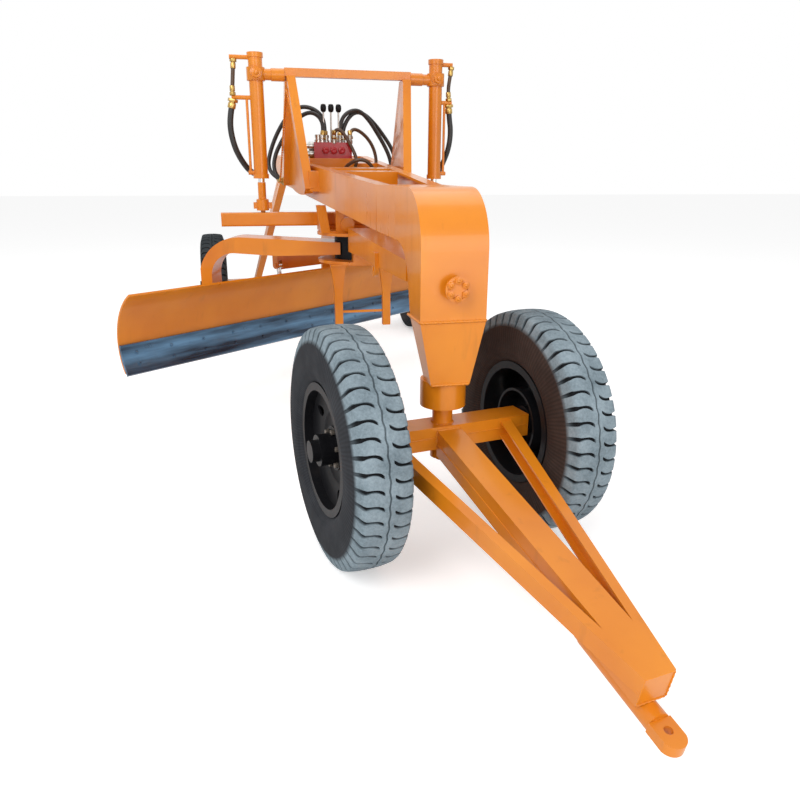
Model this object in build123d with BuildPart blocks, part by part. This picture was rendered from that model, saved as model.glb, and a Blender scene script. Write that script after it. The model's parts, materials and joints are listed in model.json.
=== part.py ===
from build123d import *
import os
from math import atan2, cos, degrees, hypot, radians, sin, tan

# Towed road grader, built about its kingpin: x across (right-hand side is -x), y to the rear,
# z up from the ground. The tow bar and the blade are modelled square to the machine and then
# turned to how they stand. Millimetres and degrees throughout.

# ---- Driving dimensions -------------------------------------------------------------------
tow_turn = 10.0               # tow bar and front axle, turned to the left
blade_turn = 38.0             # blade, right-hand end swung forward
running = 0.1                 # radial clearance of a turning or sliding fit
gap = 0.5                     # end clearance between faces that turn on each other
wheelbase = 3620.0
front_track = 718.0
rear_track = 1642.0

# Wheels
tyre_radius = 402.5
tyre_width = 190.0
crown_half = 40.0             # tyre's flat crown, then shoulder, flank and widest point
shoulder_half = 70.0
shoulder_radius = 396.0
flank_half = 92.0
flank_radius = 342.0
belly_radius = 288.0
bead_radius = 203.0
rim_flange_radius = 222.0
rim_width = 160.0
rim_wall = 7.0
drum_radius = 122.0
drum_width = 84.0
drum_wall = 9.0
nave_offset = 22.0            # wheel disc's flat centre, outward from the tyre's middle
nave_dish = 26.0              # disc's rise from its flat centre to the rim
window_count = 5
window_radius = 34.0          # three-lobed window, centre to the tip of a lobe
window_lobe = 13.0
window_circle = 156.0
hub_radius = 52.0
hub_flange_radius = 74.0
hub_flange = 9.0
hub_reach = 92.0
cap_radius = 36.0
cap_reach = 118.0
spindle_radius = 30.0
spindle_reach = 78.0
beam_to_wheel = 39.0          # from a beam's end to the middle of its tyre

# Front axle and tow bar
axle_depth = 105.0
axle_height = 80.0
axle_wall = 8.0
kingpin_radius = 30.0
neck_radius = 35.0
neck_height = 64.0
kingpin_nut_radius = 40.0
kingpin_nut_height = 46.0
kingpin_end_radius = 20.0
kingpin_end = 12.0
bar_side = 89.0
bar_wall = 6.0
bar_length = 1067.0
bar_drop = 12.0               # slope of the tow bar below level
bar_lift = 28.5               # axle centre up to the tow bar's top face, at the axle
strut_height = 55.0
strut_width = 42.0
strut_wall = 6.0
strut_spread = 222.0          # tow bar centre to a strut's inner edge at the axle
sleeve_radius = 30.0
sleeve_length = 266.0
sleeve_lead = 36.0            # sleeve's front end ahead of the bar's
shank_radius = 20.0
eye_half_width = 31.0
eye_tip = 46.0                # from the eye's centre to its rounded end
eye_hole_radius = 11.0
eye_thickness = 30.0
eye_reach = 30.0              # from the sleeve's front end to the eye's centre

# Gooseneck
neck_half_width = 110.0
neck_foot_half_width = 66.5
neck_wall = 10.0
neck_front = 100.0
neck_rear = 68.0
neck_back = 500.0             # where the rails take over from the gooseneck
neck_throat = 215.0           # underside straight back from here, curved down before it
neck_throat_drop = 120.0
neck_bend_radius = 190.0
neck_seam = 812.0
collar_radius = 78.0
collar_height = 92.0
flange_radius = 40.0
flange_height = 920.0
flange_bolt_circle = 28.0
flange_bolt_radius = 4.0
flange_stub_radius = 18.0
flange_stub_length = 28.0
flange_thickness = 9.0

# Main frame
rail_front = 265.0            # the sides flare out behind this
rail_rear = 3140.0
rail_front_half = 110.0
rail_rear_half = 333.0
rail_height = 170.0
rail_flange = 54.0
rail_wall = 9.0
deck_front_height = 1207.0    # the rails' top face, taken forward to where the flare begins
deck_rise = 3.47              # slope of the rails, up to the rear
cross_wall = 9.0

# Gantry
gantry_y = 1893.0
gantry_half = 318.0
gantry_top = 1789.0
gantry_leg = 44.0
gantry_leg_depth = 70.0
gantry_bar = 42.0
foot_pad_height = 100.0       # pads between the rails and the legs' feet
web_wall = 10.0               # plate between the two legs of a side
web_inset = 2.0               # its outer face, in from the legs' outer faces
web_sag = 42.0                # its curved lower edge, below the line between the feet
web_head = 0.86               # its upper end, as a share of the way up the legs
leg_splay_front = 265.0       # front foot ahead of the gantry's top
leg_splay_rear = 330.0
foot_gap_front = 24.0         # rail's outer face to a foot's inner face
foot_gap_rear = 44.0
leg_overlap = 118.0           # legs reach this far down the rail's side

# Lift cylinders
lift_half = 491.0
trunnion_height = 1755.0
trunnion_y = 1897.0           # balls, rods and trunnions stand in one line
boss_radius = 32.0
trunnion_radius = 20.0
boss_outer = 412.0
boss_setoff = 3.0             # bosses start this far outside the legs
yoke_radius = 48.0
yoke_height = 64.0
barrel_radius = 37.0
barrel_bore = 30.0
barrel_top = 1858.0
barrel_bottom = 1232.0
barrel_end = 24.0
barrel_flange = 42.0
port_radius = 11.0
port_heights = (1834.0, 1640.0)
port_low = 1262.0
port_low_reach = 30.0         # from a barrel's surface to the tip of its lower port
port_pipe_radius = 7.0
port_pipe_gap = 10.0
lift_rod_radius = 17.5
piston_height = 34.0
ball_radius = 22.0
ball_stem = 39.0              # lift beam's top to a ball's centre
ball_neck_radius = 13.0
cup_radius = 34.0
cup_bore = 28.0
cup_height = 58.0
cup_ear_half = 50.0
cup_ear_depth = 30.0
cup_ear_height = 34.0

# Draft frame
draft_pivot_y = 205.0
draft_pivot_z = 928.0
draft_pin_radius = 18.0
draft_knuckle_radius = 32.0
draft_knuckle_half = 42.0
draft_nose = 260.0
draft_front_half = 70.0
draft_rear_half = 80.0
draft_front_top = 966.0
draft_front_low = 891.0
draft_rear_top = 990.0
draft_rear_low = 871.0
anchor_y = 770.0
anchor_z = 874.0
anchor_radius = 34.0
anchor_hole = 12.0
anchor_wall = 16.0
housing_top = 945.0
housing_bottom = 800.0
housing_plate = 15.0
housing_radius = 215.0
housing_post_depth = 54.0
housing_post_width = 110.0
lift_beam_half = 720.0
lift_beam_height = 73.0
lift_beam_depth = 84.0
lift_beam_top = 1053.0
upright_half = 186.0
upright_width = 48.0
upright_lean = 22.0
upright_depth = 40.0
upright_front = 1566.0
upright_top = 1102.0
upright_wall = 12.0
disc_half = 72.0
disc_radius = 36.0
disc_height = 1004.0
stand_half = 131.0
stand_bottom = 466.0
stand_width = 42.0
stand_top_width = 82.0
stand_thickness = 30.0
stand_setback = 40.0
tie_rod_height = 545.0
tie_rod_radius = 7.0

# Blade and its yoke
turntable_y = 1700.0
yoke_pin_radius = 35.0
hub_disc_radius = 122.0
arm_sweep = 52.0              # each arm runs this far back from square across
arm_depth = 200.0
arm_root_top = 905.0          # an arm's outline, from the hub out to its foot
arm_root_bottom = 842.0
arm_bend = 620.0
arm_top = 930.0
arm_reach = 850.0
arm_shoulder = 760.0
arm_leg = 60.0
arm_foot = 640.0
arm_throat = 720.0
arm_pit = 650.0
arm_pit_height = 845.0
arm_under = 430.0
arm_under_height = 832.0
web_thickness = 10.0
web_top = 864.0
web_reach = 450.0
foot_width = 84.0
foot_depth = 92.0
foot_pin_height = 580.0
foot_pin_radius = 16.0
cheek_wall = 16.0
cheek_gap = 1.0
cheek_radius = 44.0
cheek_drop = 140.0            # cheeks at the moldboard, below and above their pins
cheek_rise = 28.0
rib_setback = 60.0            # ribs stop short of the moldboard's ends
blade_length = 2360.0
blade_radius = 293.0
blade_wall = 10.0
blade_low = -32.0             # lower and upper ends of the moldboard's arc, from level
blade_high = 60.0
blade_lead = 219.5            # arc's centre behind the turntable's axis
blade_clearance = 300.0       # cutting edge above the ground
edge_height = 160.0
edge_wall = 15.0
edge_overhang = 3.5           # cutting edge below the moldboard, as an angle of the arc
rib_angles = (-25.0, 36.0)    # stiffeners along the moldboard's back
rib_depth = 30.0
rib_height = 46.0

# Blade's tilt cylinder
tilt_x = -44.0
tilt_eye_y = 606.0
tilt_eye_z = 730.0
tilt_foot_y = 556.0
tilt_foot_z = 400.0
tilt_pin_radius = 12.0
tilt_eye_play = 1.5           # radial play of the rod's eye on its pin
tilt_eye_radius = 22.0
tilt_eye_width = 26.0
tilt_cheek = 10.0
tilt_cheek_gap = 1.0
tilt_barrel_radius = 27.0
tilt_barrel_bore = 20.0
tilt_barrel_start = 36.0
tilt_barrel_end = 206.0
tilt_barrel_wall = 14.0
tilt_rod_radius = 14.0
tilt_piston = 24.0
tilt_plate_y = 612.0
tilt_plate_wall = 20.0
tilt_plate_top = 830.0
tilt_plate_low = 700.0
tilt_plate_end = 500.0

# Rear axle and legs
rear_leg = 46.0
rear_leg_foot = 500.0
rear_leg_tops = (260.0, 60.0)  # ahead of the frame's rear end

# Control valve
valve_y = 2160.0
valve_x = -62.0
valve_width = 220.0
valve_depth = 110.0
valve_height = 86.0
valve_stand_height = 26.0
lever_count = 3
lever_pitch = 44.0
lever_height = 172.0
lever_radius = 5.0
knob_radius = 14.0
knob_height = 34.0

os.makedirs("parts", exist_ok=True)
pieces = {}
square = Location()
steered = Location((0, 0, 0), (0, 0, tow_turn))
swung = Location((0, turntable_y, 0), (0, 0, blade_turn))


def keep(builder, name, stand=square):
    """Stand a finished piece in its place and keep it under its name."""
    pieces[name] = stand * builder.part


# ---- Wheels -------------------------------------------------------------------------------
def make_tyre():
    """A closed tyre around the x axis, out to the tips of its tread."""
    bead = rim_width / 2 - rim_wall
    outline = (
        (bead, bead_radius),
        (bead, rim_flange_radius),
        (tyre_width / 2, belly_radius),
        (flank_half, flank_radius),
        (shoulder_half, shoulder_radius),
        (crown_half, tyre_radius),
    )
    with BuildPart() as tyre:
        with BuildSketch(Plane.XZ):
            with BuildLine():
                Polyline(*outline, *((-x, z) for x, z in reversed(outline)), close=True)
            make_face()
        revolve(axis=Axis.X)
    return tyre


def make_wheel():
    """Rim, windowed disc and brake drum around the x axis, outside towards +x."""
    half = rim_width / 2
    inner = bead_radius - rim_wall
    dish = nave_offset + nave_dish
    with BuildPart() as wheel:
        with BuildSketch(Plane.XZ):
            with BuildLine():
                Polyline(
                    (-half, rim_flange_radius),
                    (-half + rim_wall, rim_flange_radius),
                    (-half + rim_wall, bead_radius),
                    (half - rim_wall, bead_radius),
                    (half - rim_wall, rim_flange_radius),
                    (half, rim_flange_radius),
                    (half, inner),
                    (dish, inner),
                    (nave_offset + rim_wall, drum_radius),
                    (nave_offset + rim_wall, hub_radius),
                    (nave_offset - drum_wall, hub_radius),
                    (nave_offset - drum_wall, drum_radius - drum_wall),
                    (nave_offset - drum_width, drum_radius - drum_wall),
                    (nave_offset - drum_width, drum_radius),
                    (nave_offset, drum_radius),
                    (dish - rim_wall, inner),
                    (-half, inner),
                    close=True,
                )
            make_face()
        revolve(axis=Axis.X)
        with BuildSketch(Plane.YZ.offset(nave_offset - 1)) as windows:
            with PolarLocations(window_circle, window_count):
                RegularPolygon(radius=window_radius, side_count=3)
            fillet(windows.vertices(), radius=window_lobe)
        extrude(amount=nave_dish + rim_wall, mode=Mode.SUBTRACT)
    return wheel


def make_hub():
    """Hub with its bolting flange and cap around the x axis, turning on a spindle."""
    seat = nave_offset + rim_wall
    with BuildPart() as hub:
        with BuildSketch(Plane.XZ):
            with BuildLine():
                Polyline(
                    (-beam_to_wheel + 9, spindle_radius + running),
                    (-beam_to_wheel + 9, hub_radius),
                    (seat, hub_radius),
                    (seat, hub_flange_radius),
                    (seat + hub_flange, hub_flange_radius),
                    (seat + hub_flange, hub_radius),
                    (hub_reach, hub_radius),
                    (hub_reach, cap_radius),
                    (cap_reach, cap_radius),
                    (cap_reach, 0),
                    (spindle_reach + 8, 0),
                    (spindle_reach + 8, spindle_radius + running),
                    close=True,
                )
            make_face()
        revolve(axis=Axis.X)
    return hub


wheels = (
    # name, middle of the tyre (x, y), stand
    ("front_right", -front_track / 2, 0.0, steered),
    ("front_left", front_track / 2, 0.0, steered),
    ("rear_right", -rear_track / 2, wheelbase, square),
    ("rear_left", rear_track / 2, wheelbase, square),
)
tyre = make_tyre()
wheel = make_wheel()
hub = make_hub()
for name, x, y, stand in wheels:
    facing = 180 if x < 0 else 0
    place = stand * Location((x, y, tyre_radius), (0, 0, facing))
    keep(tyre, f"{name}_tyre", place)
    keep(wheel, f"{name}_wheel", place)
    keep(hub, f"{name}_hub", place)


# ---- Front axle, kingpin and tow bar ------------------------------------------------------
axle_top = tyre_radius + axle_height / 2
axle_bottom = tyre_radius - axle_height / 2
front_beam_half = front_track / 2 - beam_to_wheel
rear_beam_half = rear_track / 2 - beam_to_wheel


def make_axle(beam_half, y):
    """A box beam across the machine with a round spindle out of each end."""
    with BuildPart() as axle:
        with BuildSketch(Plane.YZ.offset(-beam_half)):
            with Locations((y, tyre_radius)):
                Rectangle(axle_depth, axle_height)
                Rectangle(axle_depth - 2 * axle_wall, axle_height - 2 * axle_wall,
                          mode=Mode.SUBTRACT)
        extrude(amount=2 * beam_half)
        for side in (-1, 1):
            end = beam_half if side > 0 else -beam_half
            with BuildSketch(Plane.YZ.offset(end - side * axle_wall)):
                with Locations((y, tyre_radius)):
                    Rectangle(axle_depth, axle_height)
            extrude(amount=side * axle_wall)
            with BuildSketch(Plane.YZ.offset(end)):
                with Locations((y, tyre_radius)):
                    Circle(spindle_radius)
            extrude(amount=side * (beam_to_wheel + spindle_reach))
    return axle


front_beam = make_axle(front_beam_half, 0.0)
with BuildPart() as front_axle:
    add(front_beam.part)
    with BuildSketch(Plane.XY.offset(axle_bottom)):
        Circle(kingpin_radius + running)
    extrude(amount=axle_height, mode=Mode.SUBTRACT)
keep(front_axle, "front_axle", steered)

collar_bottom = axle_top + neck_height
collar_top = collar_bottom + collar_height
with BuildPart() as kingpin:
    with BuildSketch(Plane.XZ):
        with BuildLine():
            Polyline(
                (0, axle_bottom - kingpin_nut_height - kingpin_end),
                (kingpin_end_radius, axle_bottom - kingpin_nut_height - kingpin_end),
                (kingpin_end_radius, axle_bottom - kingpin_nut_height),
                (kingpin_nut_radius, axle_bottom - kingpin_nut_height),
                (kingpin_nut_radius, axle_bottom),
                (kingpin_radius, axle_bottom),
                (kingpin_radius, axle_top),
                (neck_radius, axle_top),
                (neck_radius, collar_bottom - gap),
                (kingpin_radius, collar_bottom - gap),
                (kingpin_radius, collar_top - neck_wall),
                (0, collar_top - neck_wall),
                close=True,
            )
        make_face()
    revolve(axis=Axis.Z)
keep(kingpin, "kingpin", steered)

# The tow bar slopes down from the axle's front face; its plane follows its top face.
bar_top = tyre_radius + bar_lift
bar_start = -axle_depth / 2
bar_plane = Plane(
    origin=(0, bar_start, bar_top),
    x_dir=(1, 0, 0),
    z_dir=(0, -sin(radians(bar_drop)), cos(radians(bar_drop))),
)
axle_face = Plane.XZ.offset(-bar_start)
with BuildPart() as tow_bar:
    with BuildSketch(bar_plane):
        with Locations((0, -bar_length / 2 + bar_side / 2)):
            Rectangle(bar_side, bar_length + bar_side)
    extrude(amount=-bar_side)
    with BuildSketch(bar_plane.offset(-bar_wall)):
        with Locations((0, -bar_length / 2 + bar_side / 2 + bar_wall)):
            Rectangle(bar_side - 2 * bar_wall, bar_length + bar_side)
    extrude(amount=-(bar_side - 2 * bar_wall), mode=Mode.SUBTRACT)
    split(bisect_by=axle_face, keep=Keep.TOP)
keep(tow_bar, "tow_bar", steered)

with BuildPart() as tow_struts:
    for side in (-1, 1):
        near = (side * bar_side / 2, -bar_length)
        near_back = (side * bar_side / 2, -bar_length * 0.86)
        far_in = (side * strut_spread, bar_side)
        far_out = (side * (strut_spread + strut_width), bar_side)
        with BuildSketch(bar_plane):
            with BuildLine():
                Polyline(near, far_out, far_in, near_back, close=True)
            make_face()
        extrude(amount=-strut_height)
        web = -side * strut_wall
        with BuildSketch(bar_plane.offset(-strut_wall)):
            with BuildLine():
                Polyline(
                    (near[0] + web * 3, near[1]),
                    (far_out[0] + web, far_out[1] + strut_wall),
                    (far_in[0] + web * 6, far_in[1] + strut_wall),
                    (near_back[0] + web * 6, near_back[1]),
                    close=True,
                )
            make_face()
        extrude(amount=-(strut_height - 2 * strut_wall), mode=Mode.SUBTRACT)
    split(bisect_by=axle_face, keep=Keep.TOP)
keep(tow_struts, "tow_struts", steered)

# The swivel sleeve lies under the bar's front end, and the eye's shank turns in it.
sleeve_plane = Plane(
    origin=bar_plane.from_local_coords((0, -bar_length - sleeve_lead, -bar_side - sleeve_radius)),
    x_dir=(1, 0, 0),
    z_dir=-bar_plane.y_dir,
)
eye_plane = Plane(
    origin=sleeve_plane.from_local_coords((0, 0, eye_reach)),
    x_dir=(1, 0, 0),
    z_dir=bar_plane.z_dir,
)
with BuildPart() as swivel_sleeve:
    with BuildSketch(sleeve_plane.offset(-sleeve_length)):
        Circle(sleeve_radius)
        Circle(shank_radius + running, mode=Mode.SUBTRACT)
    extrude(amount=sleeve_length)
keep(swivel_sleeve, "swivel_sleeve", steered)

eye_side = eye_tip - 24
with BuildPart() as tow_eye:
    with BuildSketch(sleeve_plane.offset(-sleeve_length - gap - 18)):
        Circle(sleeve_radius - 2)
    extrude(amount=18)
    with BuildSketch(sleeve_plane.offset(-sleeve_length - gap)):
        Circle(shank_radius)
    extrude(amount=sleeve_length + 2 * gap)
    with BuildSketch(eye_plane.offset(-eye_thickness / 2)):
        with BuildLine():
            Polyline((-eye_half_width, -eye_side), (-eye_half_width, eye_reach - gap),
                     (eye_half_width, eye_reach - gap), (eye_half_width, -eye_side))
            ThreePointArc((eye_half_width, -eye_side), (0, -eye_tip),
                          (-eye_half_width, -eye_side))
        make_face()
        Circle(eye_hole_radius, mode=Mode.SUBTRACT)
    extrude(amount=eye_thickness)
keep(tow_eye, "tow_eye", steered)

# ---- Gooseneck ----------------------------------------------------------------------------
# The deck plane is the rails' top face; it rises to the rear.
deck = Plane(
    origin=(0, rail_front, deck_front_height),
    x_dir=(1, 0, 0),
    z_dir=(0, -sin(radians(deck_rise)), cos(radians(deck_rise))),
)
rail_length = (rail_rear - rail_front) / cos(radians(deck_rise))
rail_start = (neck_back - rail_front) / cos(radians(deck_rise))
rail_flare = (rail_rear_half - rail_front_half) / rail_length


def rail_half(along):
    """Half the frame's width, at a distance along the deck."""
    return rail_front_half + rail_flare * along


def deck_height(y):
    """Height of the rails' top face at a distance behind the kingpin."""
    return deck_front_height + (y - rail_front) * tan(radians(deck_rise))


neck_crown = deck_height(neck_back)
neck_sole = neck_crown - rail_height
with BuildPart() as gooseneck:
    with BuildSketch(Plane.YZ.offset(-rail_half(rail_start))):
        with BuildLine():
            front = Line((-neck_front + 16, collar_top), (-neck_front, neck_seam))
            rise = Line(front @ 1, (-neck_front, neck_crown - neck_bend_radius))
            bend = JernArc(rise @ 1, (0, 1), neck_bend_radius, -90)
            top = Line(bend @ 1, (neck_back, neck_crown))
            back = Line(top @ 1, (neck_back, neck_sole))
            under = Line(back @ 1, (neck_throat, neck_sole - 12))
            sweep_back = TangentArc(under @ 1, (neck_rear, neck_sole - neck_throat_drop),
                                    tangent=(-1, -0.042))
            heel = Line(sweep_back @ 1, (neck_rear - 34, neck_seam))
            Polyline(heel @ 1, (neck_foot_half_width - 62, collar_top), front @ 0)
        make_face()
    extrude(amount=2 * rail_half(rail_start))
    with BuildSketch(Plane.XZ):
        with BuildLine():
            Polyline((-neck_foot_half_width, collar_top), (-neck_half_width, neck_seam),
                     (-rail_rear_half, neck_seam + 40), (-rail_rear_half, neck_crown + 40),
                     (rail_rear_half, neck_crown + 40), (rail_rear_half, neck_seam + 40),
                     (neck_half_width, neck_seam), (neck_foot_half_width, collar_top),
                     close=True)
        make_face()
    extrude(amount=2 * neck_back, both=True, mode=Mode.INTERSECT)
    with BuildSketch(Plane.XY):
        with BuildLine():
            Polyline((-neck_half_width, -2 * neck_front), (-neck_half_width, rail_front),
                     (-rail_half(rail_start), neck_back), (rail_half(rail_start), neck_back),
                     (neck_half_width, rail_front), (neck_half_width, -2 * neck_front),
                     close=True)
        make_face()
    extrude(amount=2 * neck_crown, mode=Mode.INTERSECT)
keep(gooseneck, "gooseneck")

with BuildPart() as kingpin_collar:
    with BuildSketch(Plane.XY.offset(collar_bottom)):
        Circle(collar_radius)
        Circle(kingpin_radius + running, mode=Mode.SUBTRACT)
    extrude(amount=collar_height)
keep(kingpin_collar, "kingpin_collar")

with BuildPart() as neck_flange:
    with BuildSketch(Plane.XZ.offset(neck_front)):
        with Locations((0, flange_height)):
            Circle(flange_stub_radius)
    extrude(amount=flange_stub_length)
    with BuildSketch(Plane.XZ.offset(neck_front + flange_stub_length)):
        with Locations((0, flange_height)):
            Circle(flange_radius)
            with PolarLocations(flange_bolt_circle, 6):
                Circle(flange_bolt_radius, mode=Mode.SUBTRACT)
    extrude(amount=flange_thickness)
keep(neck_flange, "neck_flange")

# ---- Main frame ---------------------------------------------------------------------------
with BuildPart() as side_rails:
    for side in (-1, 1):
        with BuildSketch(deck):
            with BuildLine():
                Polyline(
                    (side * rail_half(rail_start), rail_start),
                    (side * rail_half(rail_length), rail_length),
                    (side * (rail_half(rail_length) - rail_flange), rail_length),
                    (side * (rail_half(rail_start) - rail_flange), rail_start),
                    close=True,
                )
            make_face()
        extrude(amount=-rail_height)
        with BuildSketch(deck.offset(-rail_wall)):
            with BuildLine():
                Polyline(
                    (side * (rail_half(rail_start) - rail_wall), rail_start),
                    (side * (rail_half(rail_length) - rail_wall), rail_length),
                    (side * (rail_half(rail_length) - 2 * rail_flange), rail_length),
                    (side * (rail_half(rail_start) - 2 * rail_flange), rail_start),
                    close=True,
                )
            make_face()
        extrude(amount=-(rail_height - 2 * rail_wall), mode=Mode.SUBTRACT)
    split(bisect_by=Plane.XZ.offset(-neck_back), keep=Keep.BOTTOM)
keep(side_rails, "side_rails")

cross_members = (
    # distance along the deck, length along the deck, height of the member
    (1017.0, 95.0, rail_height - 2 * rail_wall),
    (1290.0, 110.0, 60.0),
    (1820.0, 200.0, 60.0),
    (rail_length - 60.0, 60.0, rail_height - 2 * rail_wall),
)
with BuildPart() as frame_crossings:
    for along, length, height in cross_members:
        half_near = rail_half(along) - rail_flange
        half_far = rail_half(along + length) - rail_flange
        with BuildSketch(deck):
            with BuildLine():
                Polyline((-half_near, along), (half_near, along),
                         (half_far, along + length), (-half_far, along + length), close=True)
            make_face()
        extrude(amount=-height)
keep(frame_crossings, "frame_crossings")

# ---- Gantry -------------------------------------------------------------------------------
# Two legs a side stand outside the rails and lean together under the crossbar's ends.
gantry_reaches = (
    # node, foot ahead of or behind the gantry's top, its gap to the rail, half kept at the top
    ("gantry_front_legs", -leg_splay_front, foot_gap_front, Keep.TOP),
    ("gantry_rear_legs", leg_splay_rear, foot_gap_rear, Keep.BOTTOM),
)


def gantry_foot(side, reach, clear):
    """The lower end of a leg's centre line."""
    along = (gantry_y + reach - rail_front) / cos(radians(deck_rise))
    return Vector(side * (rail_half(along) + gantry_leg / 2 + clear), gantry_y + reach,
                  deck_height(gantry_y + reach) - leg_overlap)


for name, reach, clear, kept in gantry_reaches:
    with BuildPart() as legs:
        for side in (-1, 1):
            foot = gantry_foot(side, reach, clear)
            head = Vector(side * gantry_half, gantry_y, gantry_top)
            with BuildSketch(Plane(origin=foot, x_dir=(1, 0, 0), z_dir=head - foot)):
                Rectangle(gantry_leg, gantry_leg_depth)
            extrude(amount=(head - foot).length)
        split(bisect_by=Plane.XZ.offset(-gantry_y), keep=kept)
        split(bisect_by=Plane.XY.offset(gantry_top - gantry_bar), keep=Keep.BOTTOM)
    keep(legs, name)

# A web plate fills each side between its legs, and pads join their feet to the rail.
with BuildPart() as gantry_webs:
    for side in (-1, 1):
        front = gantry_foot(side, -leg_splay_front, foot_gap_front)
        rear = gantry_foot(side, leg_splay_rear, foot_gap_rear)
        head = Vector(side * gantry_half, gantry_y, gantry_top)
        outward = (rear - front).cross(head - front).normalized() * (-side)
        base = Plane(origin=front, x_dir=rear - front, z_dir=outward)
        base = base.offset(gantry_leg / 2 - web_inset)
        span = (rear - front).length
        peak = base.to_local_coords(front + (head - front) * web_head)
        tail = base.to_local_coords(rear + (head - rear) * web_head)
        sag = base.to_local_coords((front + rear) / 2 - Vector(0, 0, web_sag))
        with BuildSketch(base):
            with BuildLine():
                low = ThreePointArc((0, 0), (sag.X, sag.Y), (span, 0))
                Polyline(low @ 1, (tail.X, tail.Y), (peak.X, peak.Y), low @ 0)
            make_face()
        extrude(amount=-web_wall)
        for reach, clear in ((-leg_splay_front, foot_gap_front), (leg_splay_rear, foot_gap_rear)):
            along = (gantry_y + reach - rail_front) / cos(radians(deck_rise))
            near = along - gantry_leg_depth / 2
            far = along + gantry_leg_depth / 2
            out = clear + gantry_leg / 2
            with BuildSketch(deck.offset(foot_pad_height - leg_overlap)):
                with BuildLine():
                    Polyline((side * rail_half(near), near), (side * rail_half(far), far),
                             (side * (rail_half(far) + out), far),
                             (side * (rail_half(near) + out), near), close=True)
                make_face()
            extrude(amount=-foot_pad_height)
    add(pieces["gantry_front_legs"], mode=Mode.SUBTRACT)
    add(pieces["gantry_rear_legs"], mode=Mode.SUBTRACT)
keep(gantry_webs, "gantry_webs")

boss_inner = gantry_half + gantry_leg / 2 + boss_setoff
with BuildPart() as gantry_crossbar:
    with BuildSketch(Plane.YZ.offset(-boss_inner)):
        with Locations((gantry_y, gantry_top - gantry_bar / 2)):
            Rectangle(gantry_bar, gantry_bar)
    extrude(amount=2 * boss_inner)
    for side in (-1, 1):
        with BuildSketch(Plane.YZ.offset(side * boss_inner)):
            with Locations((trunnion_y, trunnion_height)):
                Circle(boss_radius)
                Circle(trunnion_radius + running, mode=Mode.SUBTRACT)
        extrude(amount=side * (boss_outer - boss_inner))
keep(gantry_crossbar, "gantry_crossbar")

# ---- Rear axle and its legs ---------------------------------------------------------------
keep(make_axle(rear_beam_half, wheelbase), "rear_axle")

with BuildPart() as rear_legs:
    for side in (-1, 1):
        half = rail_rear_half - rail_flange / 2
        sole = deck_height(rail_rear) - rail_height
        for set_in in rear_leg_tops:
            top = Vector(side * half, rail_rear - set_in, sole - 10)
            foot = Vector(side * rear_leg_foot, wheelbase, axle_top - 30)
            with BuildSketch(Plane(origin=foot, x_dir=(1, 0, 0), z_dir=top - foot)):
                Rectangle(rear_leg, rear_leg)
            extrude(amount=(top - foot).length + 120)
    split(bisect_by=deck.offset(-rail_height), keep=Keep.BOTTOM)
    split(bisect_by=Plane.XY.offset(axle_top), keep=Keep.TOP)
keep(rear_legs, "rear_legs")

# ---- Draft frame --------------------------------------------------------------------------
# Bracket on the gooseneck's back that holds the draft frame's front pin.
bracket_wall = 14.0
bracket_inner = draft_knuckle_half + 6
with BuildPart() as draft_bracket:
    for side in (-1, 1):
        with BuildSketch(Plane.YZ.offset(side * bracket_inner)):
            with BuildLine():
                Polyline((neck_rear - 10, draft_pivot_z + 46), (draft_pivot_y, draft_pivot_z + 34),
                         (draft_pivot_y + 30, draft_pivot_z), (draft_pivot_y, draft_pivot_z - 34),
                         (neck_rear - 14, draft_pivot_z - 60), close=True)
            make_face()
            with Locations((draft_pivot_y, draft_pivot_z)):
                Circle(draft_pin_radius, mode=Mode.SUBTRACT)
        extrude(amount=side * bracket_wall)
    with BuildSketch(Plane.YZ.offset(-(bracket_inner + bracket_wall + 8))):
        with Locations((draft_pivot_y, draft_pivot_z)):
            Circle(draft_pin_radius)
    extrude(amount=2 * (bracket_inner + bracket_wall + 8))
    add(gooseneck.part, mode=Mode.SUBTRACT)
keep(draft_bracket, "draft_bracket")

post_front = turntable_y - housing_radius
with BuildPart() as draft_beam:
    with BuildSketch(Plane.YZ.offset(-draft_rear_half)):
        with BuildLine():
            Polyline(
                (draft_nose, draft_front_low),
                (draft_nose, draft_front_top),
                (post_front, draft_rear_top),
                (post_front, draft_rear_low),
                close=True,
            )
        make_face()
    extrude(amount=2 * draft_rear_half)
    with BuildSketch(Plane.XY.offset(draft_rear_low - 50)):
        with BuildLine():
            Polyline(
                (-draft_front_half, draft_nose), (-draft_rear_half, post_front),
                (draft_rear_half, post_front), (draft_front_half, draft_nose), close=True,
            )
        make_face()
    extrude(amount=draft_rear_top - draft_rear_low + 100, mode=Mode.INTERSECT)
    with BuildSketch(Plane.YZ.offset(-draft_knuckle_half)):
        with Locations((draft_pivot_y, draft_pivot_z)):
            Circle(draft_knuckle_radius)
        with Locations(((draft_pivot_y + draft_nose) / 2, draft_pivot_z)):
            Rectangle(draft_nose - draft_pivot_y, 1.6 * draft_knuckle_radius)
    extrude(amount=2 * draft_knuckle_half)
    with BuildSketch(Plane.YZ.offset(-draft_rear_half)):
        with Locations((draft_pivot_y, draft_pivot_z)):
            Circle(draft_pin_radius + running)
    extrude(amount=2 * draft_rear_half, mode=Mode.SUBTRACT)
keep(draft_beam, "draft_beam")

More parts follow.
